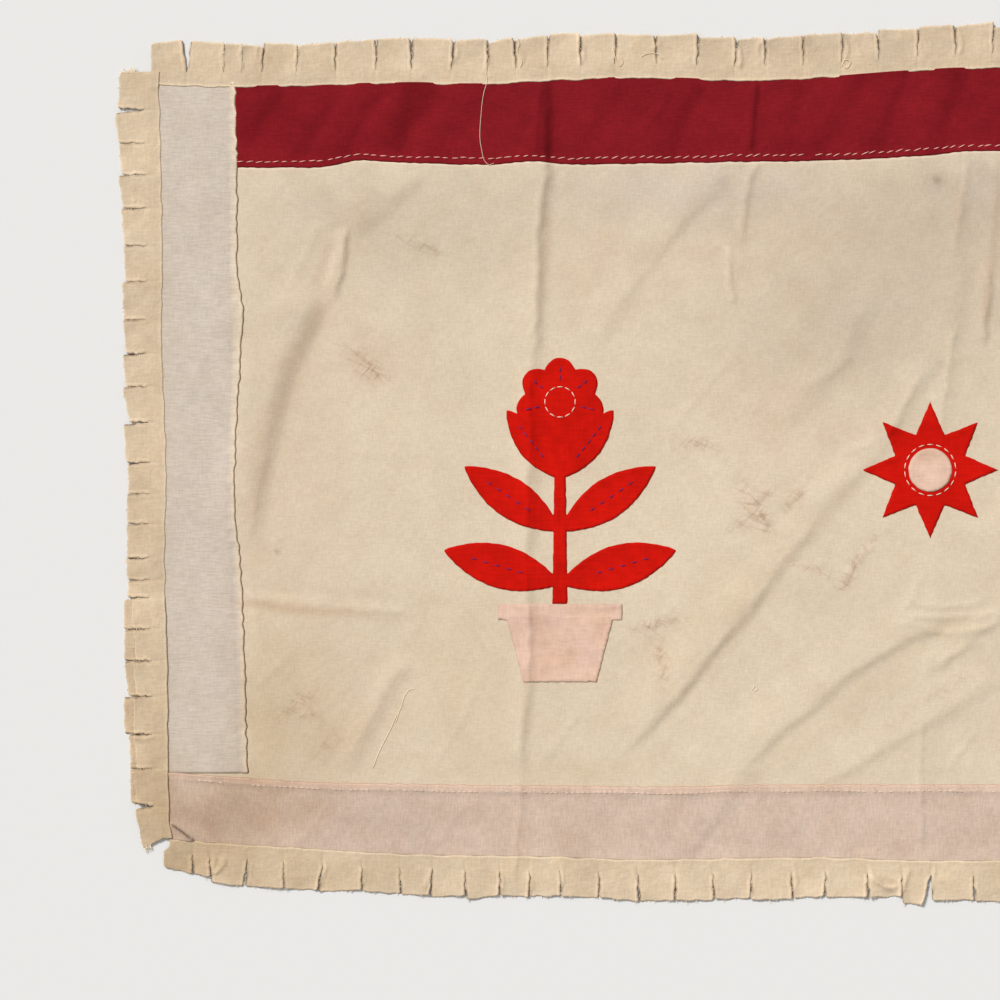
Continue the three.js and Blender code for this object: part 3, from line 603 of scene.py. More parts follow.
TOP_PAINTED_CREASE_SHADE = (
    # the same with a share of painted crease shade for the height
    ((547.5, 72), (547, 120), (546, 170), 0.33, 9.5, 9),
    ((414, 72), (405, 112), (397, 158), 0.12, 15, 14), ((757, 76), (754, 115), (751, 160), 0.08, 7, 6),
)


def hem_height(d):
    """Extra height in metres at d plan units in from a turned edge: doubled cloth that rounds
    down at the edge and steps down again where the turning ends."""
    doubled = HEM_FOLD * smooth(0, 1.4, d) * (1 - smooth(HEM - 1.5, HEM + 1.5, d))
    return doubled - HEM_ROUNDING * bell(d, 0.6)


def pucker(s, d, stitch_d, pitch=9.0):
    """Metres that the cloth dips along a stitch line: a soft trough at the line, deeper under
    each stitch, and faint rays on both sides of it."""
    beat = 0.5 + 0.5 * np.cos(ONE_TURN * s / pitch + 0.8 * np.sin(s / 31))
    return -(0.0002 + 0.0003 * beat) * bell(d, 1.6, stitch_d) - 0.00025 * beat * bell(d, 5.0, stitch_d)


def edge_wander(s, seed, size=0.45):
    """Plan units that a hand-turned edge strays: small scallops between the stitches."""
    return size * (ripple(s, 0, 11, seed) + 0.8 * ripple(s, 0, 31, seed + 1))


def edge_tint(d, shadow, bright):
    """Colour multiplier at d plan units in from a turned edge: the rolled-under rim is darkened as
    painted shadow, and the fold beside it is brighter, partly rubbed wear and partly painted highlight."""
    return blend(bell(d, 0.6), shadow) * blend(bell(d, 1.1, 1.9), bright)


def whole_spans(values):
    """Drops inner values so that the rest make whole spans of the underside."""
    extra = (len(values) - 1) % GRID_SPAN
    return np.delete(values, np.arange(8, 8 + extra))


def band_columns(start):
    """Places along a band, close together where it is seen and further apart beyond."""
    return whole_spans(np.concatenate([np.arange(start, SEEN_TO_X, BAND_CELL),
                                       np.arange(SEEN_TO_X, HOIST_X, ROUGH_CELL), [HOIST_X]]))


def band_rows(last, *widths):
    """Distances in from a band's free edge: close at the edge, then even up to the last, and
    then the widths at its seam."""
    return whole_spans(np.concatenate([EDGE_STEPS, np.arange(3.4, last, BAND_CELL), widths]))


def wrinkles(x, y):
    """Metres that the crimson band's own creases stand up, sharp ones and soft ones."""
    return 0.001 * (ridges(x, y, TOP_CREASES, 1) + ridges(x, y, TOP_SOFT_CREASES, 2))


s = band_columns(TOP_BAND_START)[:, None]
d = band_rows(82, 83.5, 85)[None, :]
lower = along(TOP_BAND_EDGE, s) + edge_wander(s, seed=21)
y = lower - d * (lower - along(TOP_SEAM, s)) / d.max()
x = np.maximum(s, along(FLY_BAND_EDGE, y) - 0.5) + 0 * y
wrinkled = wrinkles(x, y)
z = rise(x, y) + wrinkled + BAND_FACE + hem_height(d) + pucker(s, d, HEM_STITCHES["top"])
crimson_light = 1 + 0.07 * ripple(x, y, 90, 31) + 0.04 * ripple(x, y, 23, 32)
# Painted shade: the band is darkened on its creases, by their height and along the listed crease lines.
crimson_light = crimson_light * (1 - 45 * wrinkled - ridges(x, y, TOP_PAINTED_CREASE_SHADE, 2))
# Painted shadow: darker along the seam, under the top strip's fold.
crimson_light = crimson_light * (1 - 0.15 * bell(d.max() - d, 2.0))
crimson_tint = crimson_light[..., None] * edge_tint(d, (0.7, 0.6, 0.6), (1.03, 1.1, 1.1))
crimson = cotton("crimson_cotton_cloth", shade(131, 26, 34), yarn=(90, 520), level_share=0.6, depth=0.10,
                 blotch=0.03, cloud=0.04, soil=(0.97, 0.95, 0.95), crumple=0.35, gloss=0.06)
top_band = wide_sheet("top_band_cloth", points_at(x, y, z), BAND_PLY, crimson_tint, crimson)
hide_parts("top_band")

# The pinkish white thread of the crimson band's hem: slanting running stitches, pulled tight.
STITCH_LENGTH = 6.6
STITCH_PITCH = 8.9
STITCH_GAP = (811, 5)               # middle and half width of the stretch where stitches are lost
STITCH_LIFT = 0.0005                # metres from the band's face to a stitch's middle
THREAD_RADIUS = 0.0006
THREAD_SIDES = 5
THREAD_TAPER = 0.55                 # radius at a thread's two ends, as a share of the rest


def threads(name, groups, material):
    """Round threads. Each group is an array of paths, each path a row of places in metres, with
    a radius: a ring of five points stands square to the path at each place, narrower at both
    ends, the rings are joined by faces, and the ends are closed."""
    points, faces, count = [], [], 0
    turn = np.arange(THREAD_SIDES) * 2 * np.pi / THREAD_SIDES
    for paths, radius in groups:
        paths = np.asarray(paths, float)
        n, k = paths.shape[:2]
        run = np.gradient(paths, axis=1)
        run /= np.linalg.norm(run, axis=2, keepdims=True) + 1e-12
        side = np.cross(run, (0, 0, 1.0))
        side /= np.linalg.norm(side, axis=2, keepdims=True) + 1e-12
        up = np.cross(side, run)
        widths = radius * np.array([THREAD_TAPER, *[1] * (k - 2), THREAD_TAPER])
        ring = side[:, :, None] * np.cos(turn)[:, None] + up[:, :, None] * np.sin(turn)[:, None]
        points.append((paths[:, :, None] + ring * widths[:, None, None]).reshape(-1, 3))
        at = count + np.arange(n * k * THREAD_SIDES).reshape(n, k, THREAD_SIDES)
        beside = np.roll(at, -1, axis=2)
        walls = np.stack([at[:, :-1], at[:, 1:], beside[:, 1:], beside[:, :-1]], -1)
        faces += walls.reshape(-1, 4).tolist() + at[:, 0].tolist() + at[:, -1, ::-1].tolist()
        count += at.size
    points = np.concatenate(points)
    return make_mesh(name, points, faces, len(faces), np.ones((len(points), 3)), material)


def stitch_paths(x, y, dx, dy, z, length=STITCH_LENGTH, arch=0.0004):
    """Stitches of three places, each centred on its plan place, running in direction dx, dy, with
    its ends sunk into the cloth."""
    share = np.array([-0.5, 0, 0.5])
    px = x[:, None] + share * length * dx[:, None]
    py = y[:, None] + share * length * dy[:, None]
    return points_at(px, py, z[:, None] + arch * np.array([-1, 0.4, -1]))


def yarn(name, colour):
    """Twisted sewing thread: its colour with short light and dark turns along it."""
    return cotton(name, colour, yarn=(900, 900), depth=0.10, blotch=0.06)


stitch_rng = np.random.default_rng(71)
place = np.arange(241, HOIST_X - 4, STITCH_PITCH)
place = place + stitch_rng.uniform(-1.1, 1.1, len(place))
place = place[np.abs(place - STITCH_GAP[0]) > STITCH_GAP[1]]
depth = HEM_STITCHES["top"] + 0.5 * np.sin(place / 23) + stitch_rng.uniform(-0.4, 0.4, len(place))
line = along(TOP_BAND_EDGE, place) + edge_wander(place, seed=21) - depth
slant = -0.10 - 0.2 * smooth(520, 600, place) + stitch_rng.uniform(-0.12, 0.12, len(place))
slope = (along(TOP_BAND_EDGE, place + 3) - along(TOP_BAND_EDGE, place - 3)) / 6 + slant
height = rise(place, line) + wrinkles(place, line) + BAND_FACE + STITCH_LIFT
length = STITCH_LENGTH * stitch_rng.uniform(0.75, 1.1, len(place))[:, None]
crimson_hem = stitch_paths(place, line, np.ones(len(place)), slope, height, length)
threads("crimson_hem_stitches", [(crimson_hem, THREAD_RADIUS)], yarn("hem_thread", shade(240, 184, 172)))

# The grey-beige band down the fly end lies over the end of the crimson one, and its foot runs
# in under the pink one. Inside its hem the two layers look paler than the one beside them.
FLY_BAND_SPAN = (82, 774)
OVER_CRIMSON = 0.0004               # metres that the fly band stands up over the crimson one's end
FLY_MARGIN = ((84, 231), (300, 231.5), (400, 232), (470, 230), (600, 238), (774, 243))
s = whole_spans(np.arange(*FLY_BAND_SPAN, BAND_CELL))[None, :]
d = band_rows(76, 78, 80)[:, None]
jagged = 0.8 * ripple(s, 0, 7, 43) * smooth(176, 160, s)
right = along(FLY_BAND_EDGE, s) + edge_wander(s, seed=41, size=0.75) + jagged
x = right + (d - d.max()) / d.max() * (right - along(FLY_SEAM, s))
d = (d.max() - d) + 0 * s
y = np.minimum(s, along(FOOT_BAND_EDGE, x) + 1.5)
on_crimson = smooth(168, 160, y) * smooth(12, 4, d)
puckered = pucker(s, d, HEM_STITCHES["fly"], pitch=14)
z = rise(x, y) + BAND_FACE + hem_height(d) + puckered + OVER_CRIMSON * on_crimson
grey_tint = stained_and_fold_shaded(x, y) * blend(smooth(-1.2, 1.2, x - along(FLY_MARGIN, y)), (1.09, 1.06, 0.98))
# The pale hem edge is the cloth's own, strengthened as painted highlight; the dark brown line at the very
# edge is painted shadow.
pale_edge_and_highlight = bell(d, 1.1, 1.7) * (1.0 + 0.4 * ripple(x, y, 13, 44) + 0.3 * on_crimson)
grey_tint = grey_tint * blend(pale_edge_and_highlight, (1.24, 1.22, 1.17)) * blend(bell(d, 0.35), (0.3, 0.2, 0.14))
# Painted shadow: darker along the seam, beside the fly strip's fold.
grey_tint = grey_tint * (1 - 0.05 * bell(d.max() - d, 2.2))[..., None]
grey = cotton("grey_cotton_cloth", shade(207, 194, 181), yarn=(70, 560), level_share=0.68, depth=0.075,
              blotch=0.025, cloud=0.025, soil=(0.965, 0.95, 0.93))
fly_band = wide_sheet("fly_band_cloth", points_at(x, y, z), BAND_PLY, grey_tint, grey)
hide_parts("fly_band")

# The pinkish beige band along the foot lies over the end of the grey one, with a small tuck at
# its corner. About half of its hem stitches have gone.
FOOT_BAND_START = 160
FOOT_CREASES = (
    ((170, 821), (182, 830), (197, 842), 3.0, 11, 3.2), ((176, 840), (184, 842), (198, 846), 0.8, 4, 3),
    ((330, 800), (316, 822), (300, 845), 0.5, 10, 7), ((470, 800), (452, 822), (430, 850), 0.5, 12, 7),
)
FOOT_DARK_LINE = ((170, 823), (183, 832), (197, 843), 1.0, 2.4, 2.4)
FOOT_STITCH = {"pitch": 5.4, "length": 3.9, "arch": 0.0003, "lift": 0.0004, "radius": 0.00045}
s = band_columns(FOOT_BAND_START)[:, None]
d = band_rows(70, 72.5, 75)[None, :]
upper = along(FOOT_BAND_EDGE, s) + edge_wander(s, seed=51, size=0.4)
y = upper + d * (along(FOOT_SEAM, s) - upper) / d.max()
x = np.maximum(s, along(FLY_SEAM, y)) + 0 * y
fly_edge = along(FLY_BAND_EDGE, np.minimum(y, FLY_BAND_SPAN[1])) + 2
over_fly = smooth(-2, 0, fly_edge - x) * smooth(4, 1, d)
tuck = ridges(x, y, FOOT_CREASES, 1) * 0.001
puckered = 0.6 * pucker(s, d, HEM_STITCHES["foot"], pitch=6.4)
z = rise(x, y) + BAND_FACE + hem_height(d) + puckered + tuck + over_fly * BAND_PLY
pink_tint = stained_and_fold_shaded(x, y) * blend(1 - smooth(HEM - 2, HEM, d), (1.10, 1.06, 1.04))
hem_lines = 0.08 * bell(d, 0.9, 5.6) - 0.10 * bell(d, 0.8, 7.8)
tuck_shade = np.minimum(1.1 * ridges(x, y, (FOOT_DARK_LINE,), 1), 0.75)
pink_light = (1 + hem_lines * (1 + 0.5 * ripple(x, 0, 60, 53))) * (1 - tuck_shade)
# Painted shadow: darker along the seam, beside the foot strip's fold.
pink_light = pink_light * (1 - 0.16 * bell(d.max() - d, 1.6))
pink_tint = pink_tint * pink_light[..., None] * edge_tint(d, (0.66, 0.55, 0.5), (1.04, 1.03, 1.02))
pink_grey = cotton("pink_grey_cotton_cloth", shade(208, 186, 170), yarn=(90, 560), level_share=0.4,
                   depth=0.075, blotch=0.045, cloud=0.035, soil=(0.96, 0.925, 0.89), crumple=0.25,
                   crumple_lines=0.16)
pink_tint = with_crumpling(pink_tint, x, y)
foot_band = wide_sheet("foot_band_cloth", points_at(x, y, z), BAND_PLY, pink_tint, pink_grey)
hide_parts("foot_band")

place = np.arange(200, HOIST_X - 4, FOOT_STITCH["pitch"])
place = place + stitch_rng.uniform(-0.7, 0.7, len(place))
line = along(FOOT_BAND_EDGE, place) + 6.6 + 0.5 * np.sin(place / 17)
still_there = 0.5 + 0.5 * (smooth(560, 600, place) * smooth(760, 700, place))
shown = stitch_rng.uniform(0, 1, len(place)) < still_there
place, line = place[shown], line[shown]
foot_hem = stitch_paths(place, line, np.ones(len(place)), 0.38 + 0.1 * np.sin(place),
                        rise(place, line) + BAND_FACE + FOOT_STITCH["lift"],
                        FOOT_STITCH["length"], FOOT_STITCH["arch"])
threads("foot_hem_stitches", [(foot_hem, FOOT_STITCH["radius"])],
        yarn("foot_hem_thread", shade(243, 221, 206)))


# The fringes: three strips of cream cotton, folded along the inner edge and sewn down over the
# raw edges of the ground and the bands. Their outer part is snipped into tabs, which have
# frayed, curled and shifted with use. The fly strip has a second ply under its lower half.
FRINGE_PLY = 0.0006
FRINGE_LAP = 1.6                    # plan units that a strip lies over the bands
SEAM_HEIGHT = BAND_FACE + LAYER_GAP + FRINGE_PLY
TAB_HEIGHT = 0.0010
UNDER_HEIGHT = 0.0008
OVER_PLY = 0.0009                   # metres that the front ply is raised where cloth lies under it
TAB_CELL = 1.45
TAB_DEPTH = 28                      # plan units that the cells out to a tab's edge are counted on
CUT_OPEN = (0.7, 1.2)               # width of a narrow and of a wide cut, as a share of its row's
WIDE_CUT = (2.2, 3.4)               # row's numbers between which a cut goes from narrow to wide
# Colour that the cuts' sides are painted, standing for the shade in the cuts.
CUT_PAINTED_SHADE = (0.2, 0.14, 0.1)
RAGGED = (0.55, 0.3)                # plan units that an outer edge strays, coarsely and finely
TOP_TABS = (
    # end, outer edge at its start and at its end, cut, lean of the cut, curl, lift, in plan units
    # and millimetres
    (187, 44, 40, 5.5, 0, 0.6, 0), (224, 41, 43.5, 0.5, 1, 0.3, 0.3), (242, 43.5, 44, 0.4, 1, 0.6, 0),
    (262, 44.5, 47.4, 0.9, 2, 0.9, 0.4), (297, 42.5, 45, 0.8, 1, 0.5, 0),
    (336, 45.5, 42, 1.6, -1, 0.5, 0.4), (376, 43, 39.2, 2.2, 0, 0.6, 0), (412, 39, 38, 2.8, -1, 0.7, 0.3),
    (451.5, 38.5, 39, 2.4, 2, 0.9, 0), (487, 41, 39, 2.0, 1, 0.5, 0.4),
    (516, 42.5, 37.5, 2.0, -2, 1.2, 0), (547.5, 40.5, 35, 2.0, 1, 0.8, 0.5),
    (581, 34.5, 33, 2.4, -1, 1.3, 0), (615, 36, 33, 1.6, 1, 0.5, 0.5), (657, 34, 36, 1.6, -2, 0.8, 0),
    (696.5, 35.5, 34.3, 1.6, 2, 0.5, 0.3), (734.5, 38, 37, 2.4, 2, 1.0, 0),
    (765.5, 40, 37.3, 1.3, -1, 1.3, 0.4), (803, 39, 35.5, 1.1, 0, 0.5, 0),
    (841.5, 35.5, 33, 1.5, 1, 0.6, 0.4), (879, 33.5, 33.5, 1.5, -2, 0.9, 0),
    (917.5, 29.5, 29.3, 1.3, 1, 0.5, 0.3), (955.5, 27, 25, 1.5, -1, 0.8, 0),
    (992.5, 26.5, 22, 1.2, 1, 0.7, 0.4),
)
FLY_TABS = (
    (110, 120, 118.2, 3.4, 1, 0.5, 0), (143.5, 115.5, 119, 0.9, 0, 0.6, 0.3),
    (175.5, 118.7, 122.5, 0.9, 0, 0.5, 0), (208.5, 119, 123, 0.9, 0, 0.5, 0.3),
    (246, 121.4, 124.9, 0.9, 0, 0.5, 0), (282, 124, 125.5, 0.9, 0, 0.6, 0.3),
    (320, 123, 123.5, 0.9, 0, 0.7, 0), (353.5, 123, 127, 2.0, 1, 0.8, 0.5),
    (387, 123, 126, 1.1, 0, 0.6, 0), (422.5, 123, 130, 2.8, 1, 1.0, 0.5),
    (462.5, 124, 126.5, 1.5, 1, 0.8, 0), (494, 128.5, 128.5, 0.9, 0, 0.5, 0.3),
    (524, 127, 127.5, 1.1, 0, 0.5, 0), (558, 126.8, 127.5, 1.1, 0, 0.5, 0.3),
    (580, 126, 128, 0.9, 0, 0.5, 0), (597.5, 128, 128, 0.9, 0, 0.5, 0.3),
    (628.5, 132, 133, 1.2, 1, 0.5, 0), (661, 134, 136, 1.5, 0, 0.6, 0.4),
    (696.5, 133, 137, 1.5, 0, 0.7, 0), (734, 134, 134, 1.2, 0, 1.0, 0.5),
    (768.5, 134, 137, 0.9, 0, 0.6, 0), (806, 133, 137, 3.6, 0, 0.8, 0.4), (838, 135, 143.5, 0, 7, 0.7, 0),
)
FLY_UNDER_TABS = (
    (628.5, 125, 124, 1.2, 1, 0.3, 0), (661, 124.5, 125, 1.5, 0, 0.3, 0),
    (696.5, 125, 129, 1.8, 0, 0.3, 0), (734, 124, 125, 1.5, 0, 0.3, 0), (768.5, 130, 131, 0.9, 0, 0.3, 0),
    (806, 130.5, 131, 4.8, 0, 0.3, 0), (838, 136.5, 145, 0, 4, 0.3, 0),
)
FOOT_TABS = (
    (193, 867, 873.6, 1.6, 0, 0.6, 0), (210, 874, 876.4, 1.1, 1, 0.8, 0.4),
    (248, 882, 886, 2.8, -4, 0.8, 0), (283.5, 886, 888, 1.5, 1, 0.5, 0.4),
    (323, 888.5, 890, 2.0, -5, 0.8, 0), (362, 891.7, 890, 1.1, 0, 0.6, 0.4),
    (400, 891, 894, 1.3, 1, 0.5, 0), (433, 894.5, 895, 2.0, -3, 0.8, 0.4),
    (465, 897, 895, 1.5, 1, 0.6, 0), (500, 899.5, 895, 1.5, -1, 0.6, 0.4),
    (529.5, 895, 897, 1.5, 0, 0.9, 0), (560, 896, 896, 1.3, 1, 0.6, 0.4), (599, 896, 898, 1.3, 0, 0.5, 0),
    (638, 897.5, 901, 2.4, 1, 0.8, 0.5), (675.5, 901, 900, 2.0, -1, 0.6, 0),
    (713, 900, 900, 2.0, 1, 0.6, 0.4), (752, 899, 898, 1.5, -2, 0.7, 0),
    (791, 900, 899, 1.5, 2, 0.8, 0.4), (825.5, 898, 896.5, 1.5, -1, 0.6, 0),
    (867, 897, 897, 2.4, 1, 0.8, 0.4), (902, 897, 896, 1.1, 0, 2.0, 0),
    (931, 903, 904.5, 6.5, -4, 1.0, 0.8), (973.5, 900, 900, 2.4, 1, 0.8, 0.3),
)
FRINGE_CREASES = (
    # from, through, to, height, flank to the upper left, flank to the lower right, in mm
    ((226, 46), (221, 58), (225, 72), 1.0, 4.5, 3), ((243, 50), (240, 56), (245, 70), 1.4, 4.5, 3),
    ((262, 44), (257, 54), (262, 66), 1.4, 4.5, 3), ((240, 48), (247, 46), (256, 44), 0.8, 4.5, 3),
    ((292, 62), (296, 58), (298, 46), 0.9, 4.5, 3), ((450, 42), (458, 52), (449, 66), 1.5, 5.5, 4),
    ((484, 44), (488, 54), (487, 70), 1.2, 4.5, 3), ((512, 40), (520, 50), (524, 66), 1.4, 5.5, 4),
    ((576, 38), (584, 50), (580, 68), 1.5, 6.5, 4), ((648, 50), (655, 47), (660, 40), 0.9, 4.5, 3),
    ((734, 40), (741, 55), (738, 72), 1.7, 6.5, 4), ((763, 40), (758, 52), (766, 64), 1.4, 6.5, 4),
    ((841, 34), (848, 48), (843, 64), 1.2, 5.5, 4), ((852, 36), (858, 46), (862, 60), 1.0, 6.5, 5),
    ((955, 28), (962, 42), (958, 58), 1.2, 5.5, 4), ((133, 174), (140, 173), (148, 175), 0.8, 4.5, 3),
    ((128, 208), (136, 206), (146, 209), 0.8, 4.5, 3), ((130, 183), (134, 186), (135, 192), 0.8, 4.5, 3),
    ((131, 196), (135, 199), (133, 205), 0.8, 4.5, 3), ((130, 320), (140, 318), (150, 322), 0.8, 4.5, 3),
    ((127, 733), (142, 739), (157, 734), 1.2, 5.5, 4), ((216, 856), (214, 866), (211, 876), 1.2, 5.5, 4),
    ((226, 854), (220, 866), (214, 875), 1.2, 5.5, 4), ((227, 857), (222, 868), (213, 875), 1.5, 5.5, 3),
    ((204, 862), (208, 866), (212, 864), 1.0, 4.5, 3), ((329, 862), (323, 876), (318, 890), 1.2, 5.5, 4),
    ((362, 866), (364, 878), (362, 888), 0.9, 4.5, 3), ((792, 868), (797, 880), (790, 896), 1.0, 5.5, 4),
    ((635, 864), (633, 872), (637, 880), 1.0, 4.5, 3), ((749, 880), (752, 888), (750, 896), 1.0, 7.5, 4),
    ((868, 872), (884, 886), (900, 885), 2.6, 9, 4), ((870, 868), (878, 880), (896, 893), 1.5, 6.5, 4),
    ((911, 866), (906, 880), (902, 896), 1.4, 6.5, 4), ((936, 868), (933, 880), (931, 900), 1.2, 5.5, 4),
    ((560, 866), (563, 878), (560, 892), 1.0, 5.5, 4), ((498, 866), (503, 880), (500, 896), 1.0, 5.5, 4),
    ((433, 866), (428, 878), (424, 890), 1.0, 5.5, 4), ((529, 866), (532, 878), (530, 894), 1.0, 5.5, 4),
)


def to_hoist(tabs, outer, pitch=38):
    """The tab rows carried on level past the seen part, as far as the hoist."""
    rows = list(tabs)
    ends = np.arange(rows[-1][0] + pitch, HOIST_X - pitch / 2, pitch)
    for number, end in enumerate(ends):
        rows.append((end + 2 * np.sin(3 * number), outer + np.sin(2 * number), outer + np.cos(2 * number),
                     1.6, np.sin(5 * number), 0.7, 0.4 * (number % 2)))
    rows.append((HOIST_X, outer, outer, 0, 0, 0.5, 0))
    return rows


def cut_side(reach, sign, place, width, lean, waver, jut):
    """Places of one side of a cut, from the strip's fold at a reach of -1 over the cut's root at 0
    to the tab's edge at 1: the cut leans, wavers as two sines, and opens unevenly, more so
    when it is narrow."""
    t = np.clip(reach, 0, 1)
    wavy = 0.6 * np.sin(7 * t + 3 * waver[0]) + 0.35 * np.sin(19 * t + 9 * waver[1])
    wavy = wavy * min(width + 0.4, 1) * np.sin(np.pi * np.minimum(t * 1.3, 1))
    uneven = 0.65 + 0.45 * np.sin(10 * t + 5 * waver[1]) + 0.35 * np.sin(24 * t + 7 * waver[2])
    uneven = np.clip(uneven, 0.1, 1.3)
    wide = smooth(*WIDE_CUT, width)
    open_by = CUT_OPEN[0] + wide * (CUT_OPEN[1] - CUT_OPEN[0])
    gap = (t ** 0.7 * (uneven + wide * (1 - uneven)) + 0.3 * t ** 7) * width * open_by / 2
    return place + lean * t + wavy + sign * gap + jut * smooth(-0.45, -0.02, reach)


def fringe_tabs(tabs, first, seam_line, root_depth, outwards, order, seed, corners=(0, 0),
                lift_all=None):
    """The surface of a fringe strip, as one grid a tab: plan places, heights in metres, distance
    from the folded inner edge, share of the way out, distances from the tab's two cuts, and
    their widths. Outwards a grid runs from the fold over the seam and the root to the tab's
    outer edge. Each tab is curled up at its sides, waved, tipped and lifted. The strip's two
    ends jut out past its seam by the corners' plan units."""
    draw = np.random.default_rng(seed)
    start, start_cut = first, (0, 0, (0, 0, 0), corners[0])
    for row, (end, outer_start, outer_end, cut, lean, curl, lift) in enumerate(tabs):
        wave = draw.uniform(-1, 1, 4)
        end_cut = (cut, lean, wave, corners[1] if row == len(tabs) - 1 else 0)
        width = end - start
        rough = TAB_CELL if end < SEEN_TO_X + 40 else 3 * TAB_CELL
        u = np.linspace(0, 1, max(4, int(round(width / rough))) + 1)
        near_cut = 0.9 / width
        u = np.concatenate([[0, near_cut], u[1:-1], [1 - near_cut, 1]])[:, None]
        lap = FRINGE_LAP + root_depth
        seam_steps = np.array([0, 0.5, 1.0, 1.6, 2.6, 4.2, 6.6, 9.4, lap - 1.8]) / lap - 1
        reach = np.concatenate([seam_steps, np.linspace(0, 1, int(round(TAB_DEPTH / rough)) + 1)])[None, :]
        t = np.clip(reach, 0, 1)
        left, right = cut_side(reach, 1, start, *start_cut), cut_side(reach, -1, end, *end_cut)
        strip = left + u * (right - left)
        seam = along(seam_line, strip) + 0.5 * ripple(strip, 0, 24, 91) + 0.25 * ripple(strip, 0, 9, 92)
        outer = strip[:, -1:]
        ragged = RAGGED[0] * ripple(outer, 0, 13, seed) + RAGGED[1] * ripple(outer, 0, 4, seed + 1)
        rounded = 1.1 * bell(np.minimum(u, 1 - u) * width, 1.1)
        edge = outer_start + u * (outer_end - outer_start) - outwards * (rounded + ragged)
        inner, root = seam - outwards * FRINGE_LAP, seam + outwards * root_depth
        across = np.where(reach < 0, root + reach * (root - inner), root + t * (edge - root))
        from_seam = (across - inner) * outwards
        bow = (2 * u - 1) ** 2
        raised = curl * (0.2 + 0.9 * bow * bow) * t + lift * t * (0.3 + 0.7 * u)
        raised = raised + (0.45 + 0.55 * curl) * np.sin(4.5 * u + 5 * wave[2]) * t ** 0.7
        raised = raised + 0.5 * (wave[3] + 1) * t * t * (u if wave[0] > 0 else 1 - u)
        x, y = (strip, across) if order == "xy" else (across, strip)
        from_start, to_end = u * width + 0 * x, (1 - u) * width + 0 * x
        pinch = bell(np.minimum(from_start, to_end), 1.5) * smooth(-1, -0.15, reach) * (reach < 0.1)
        level = SEAM_HEIGHT + (TAB_HEIGHT - SEAM_HEIGHT) * smooth(0, 40, from_seam)
        fold = -0.0006 * bell(from_seam, 0.6) - 0.00022 * bell(from_seam, 1.3, 4.2)
        z = rise(x, y) + level + fold - 0.0004 * pinch + 0.001 * np.maximum(raised, -0.7)
        z = z + 0.001 * ridges(x, y, FRINGE_CREASES, 1)
        if lift_all is not None:
            z = z + lift_all(x, y)
        yield x, y, z, from_seam, t + 0 * x, from_start, to_end, (start_cut[0], cut)
        start, start_cut = end, (cut, lean, wave, 0)


def closed_sheet(name, points, faces, thickness, tints, material):
    """Face points that share a place become one and those of no face are left out. Then the
    sheet is doubled straight below, and closed with a wall along each edge that only one face
    has."""
    _, kept, number = np.unique(np.round(points, 6), axis=0, return_index=True, return_inverse=True)
    used, number = np.unique(number.reshape(-1)[faces], return_inverse=True)
    points, tints, faces = points[kept][used], tints[kept][used], number.reshape(faces.shape)
    count = len(points)
    under = points - (0, 0, 1) * np.minimum(thickness, points[:, 2:])
    edges = np.stack([faces, np.roll(faces, -1, axis=1)], -1).reshape(-1, 2)
    keys = edges.min(1) * count + edges.max(1)
    _, where, times = np.unique(keys, return_inverse=True, return_counts=True)
    rim = edges[times[where] == 1]
    walls = np.column_stack([rim[:, 1], rim[:, 0], rim[:, 0] + count, rim[:, 1] + count])
    every = faces.tolist() + (faces[:, ::-1] + count).tolist() + walls.tolist()
    return make_mesh(name, np.concatenate([points, under]), every, 2 * len(faces),
                     np.concatenate([tints, tints]), material)


def fringe(name, grids, material, ply_tint=(1, 1, 1), rim=0.15):
    """A closed strip from its tab grids, welded where neighbours share the root. The very edge of
    the fold is darkened as painted shade, the cloth beside it is brightened by the rim's share
    as painted highlight, and the sides of the cuts are painted dark in patches as the shade in
    the cuts, with a pale line beside them."""
    points, faces, tints, count = [], [], [], 0
    for x, y, z, from_seam, t, from_start, to_end, cuts in grids:
        # Painted highlight along the fold by the rim's share and painted shade at its very edge, then tone
        # across the tabs, a pale outer edge and pale lines by the cuts.
        wear_and_painted_light = 1 + rim * bell(from_seam, 0.9, 1.2) - 0.4 * bell(from_seam, 0.4)
        wear_and_painted_light = wear_and_painted_light - 0.04 * t * ripple(x, y, 23, 77) - 0.03 * ripple(x, y, 60, 78)
        wear_and_painted_light = wear_and_painted_light + 0.09 * bell(1 - t, 0.06) + 0.025 * np.sin(7 * x.mean() + 5 * y.mean())
        # Painted shade: this soil darkens the cuts' sides in patches, standing for the shade in the cuts.
        soil = 1
        for away, cut, pale, pale_at, seed in ((to_end, cuts[1], 0.2, 2.5, 79),
                                               (from_start, cuts[0], 0.13, 2.4, 80)):
            wear_and_painted_light = wear_and_painted_light + pale * bell(away, 1.0, pale_at) * smooth(0, 0.1, t) * smooth(0, 1.0, cut)
            patchy = np.clip(0.8 + 0.8 * ripple(x, y, 11, seed), 0, 1) * min(1, cut / 1.4)
            patchy = patchy * smooth(0, 0.2, t) * (0.45 + 0.55 * smooth(0.3, 0.7, t))
            soil = soil * blend(bell(away, 1.15) * patchy, CUT_PAINTED_SHADE)
        faces.append(grid_faces(*x.shape) + count)
        points.append(points_at(x, y, z).reshape(-1, 3))
        tints.append((stained_and_fold_shaded(x, y) * wear_and_painted_light[..., None] * soil * np.array(ply_tint)).reshape(-1, 3))
        count += x.size
    points, faces, tints = np.concatenate(points), np.concatenate(faces), np.concatenate(tints)
    first = points[faces[0]]
    if np.cross(first[1] - first[0], first[2] - first[0])[2] < 0:
        faces = faces[:, ::-1]
    return closed_sheet(name, points, faces, FRINGE_PLY, tints, material)


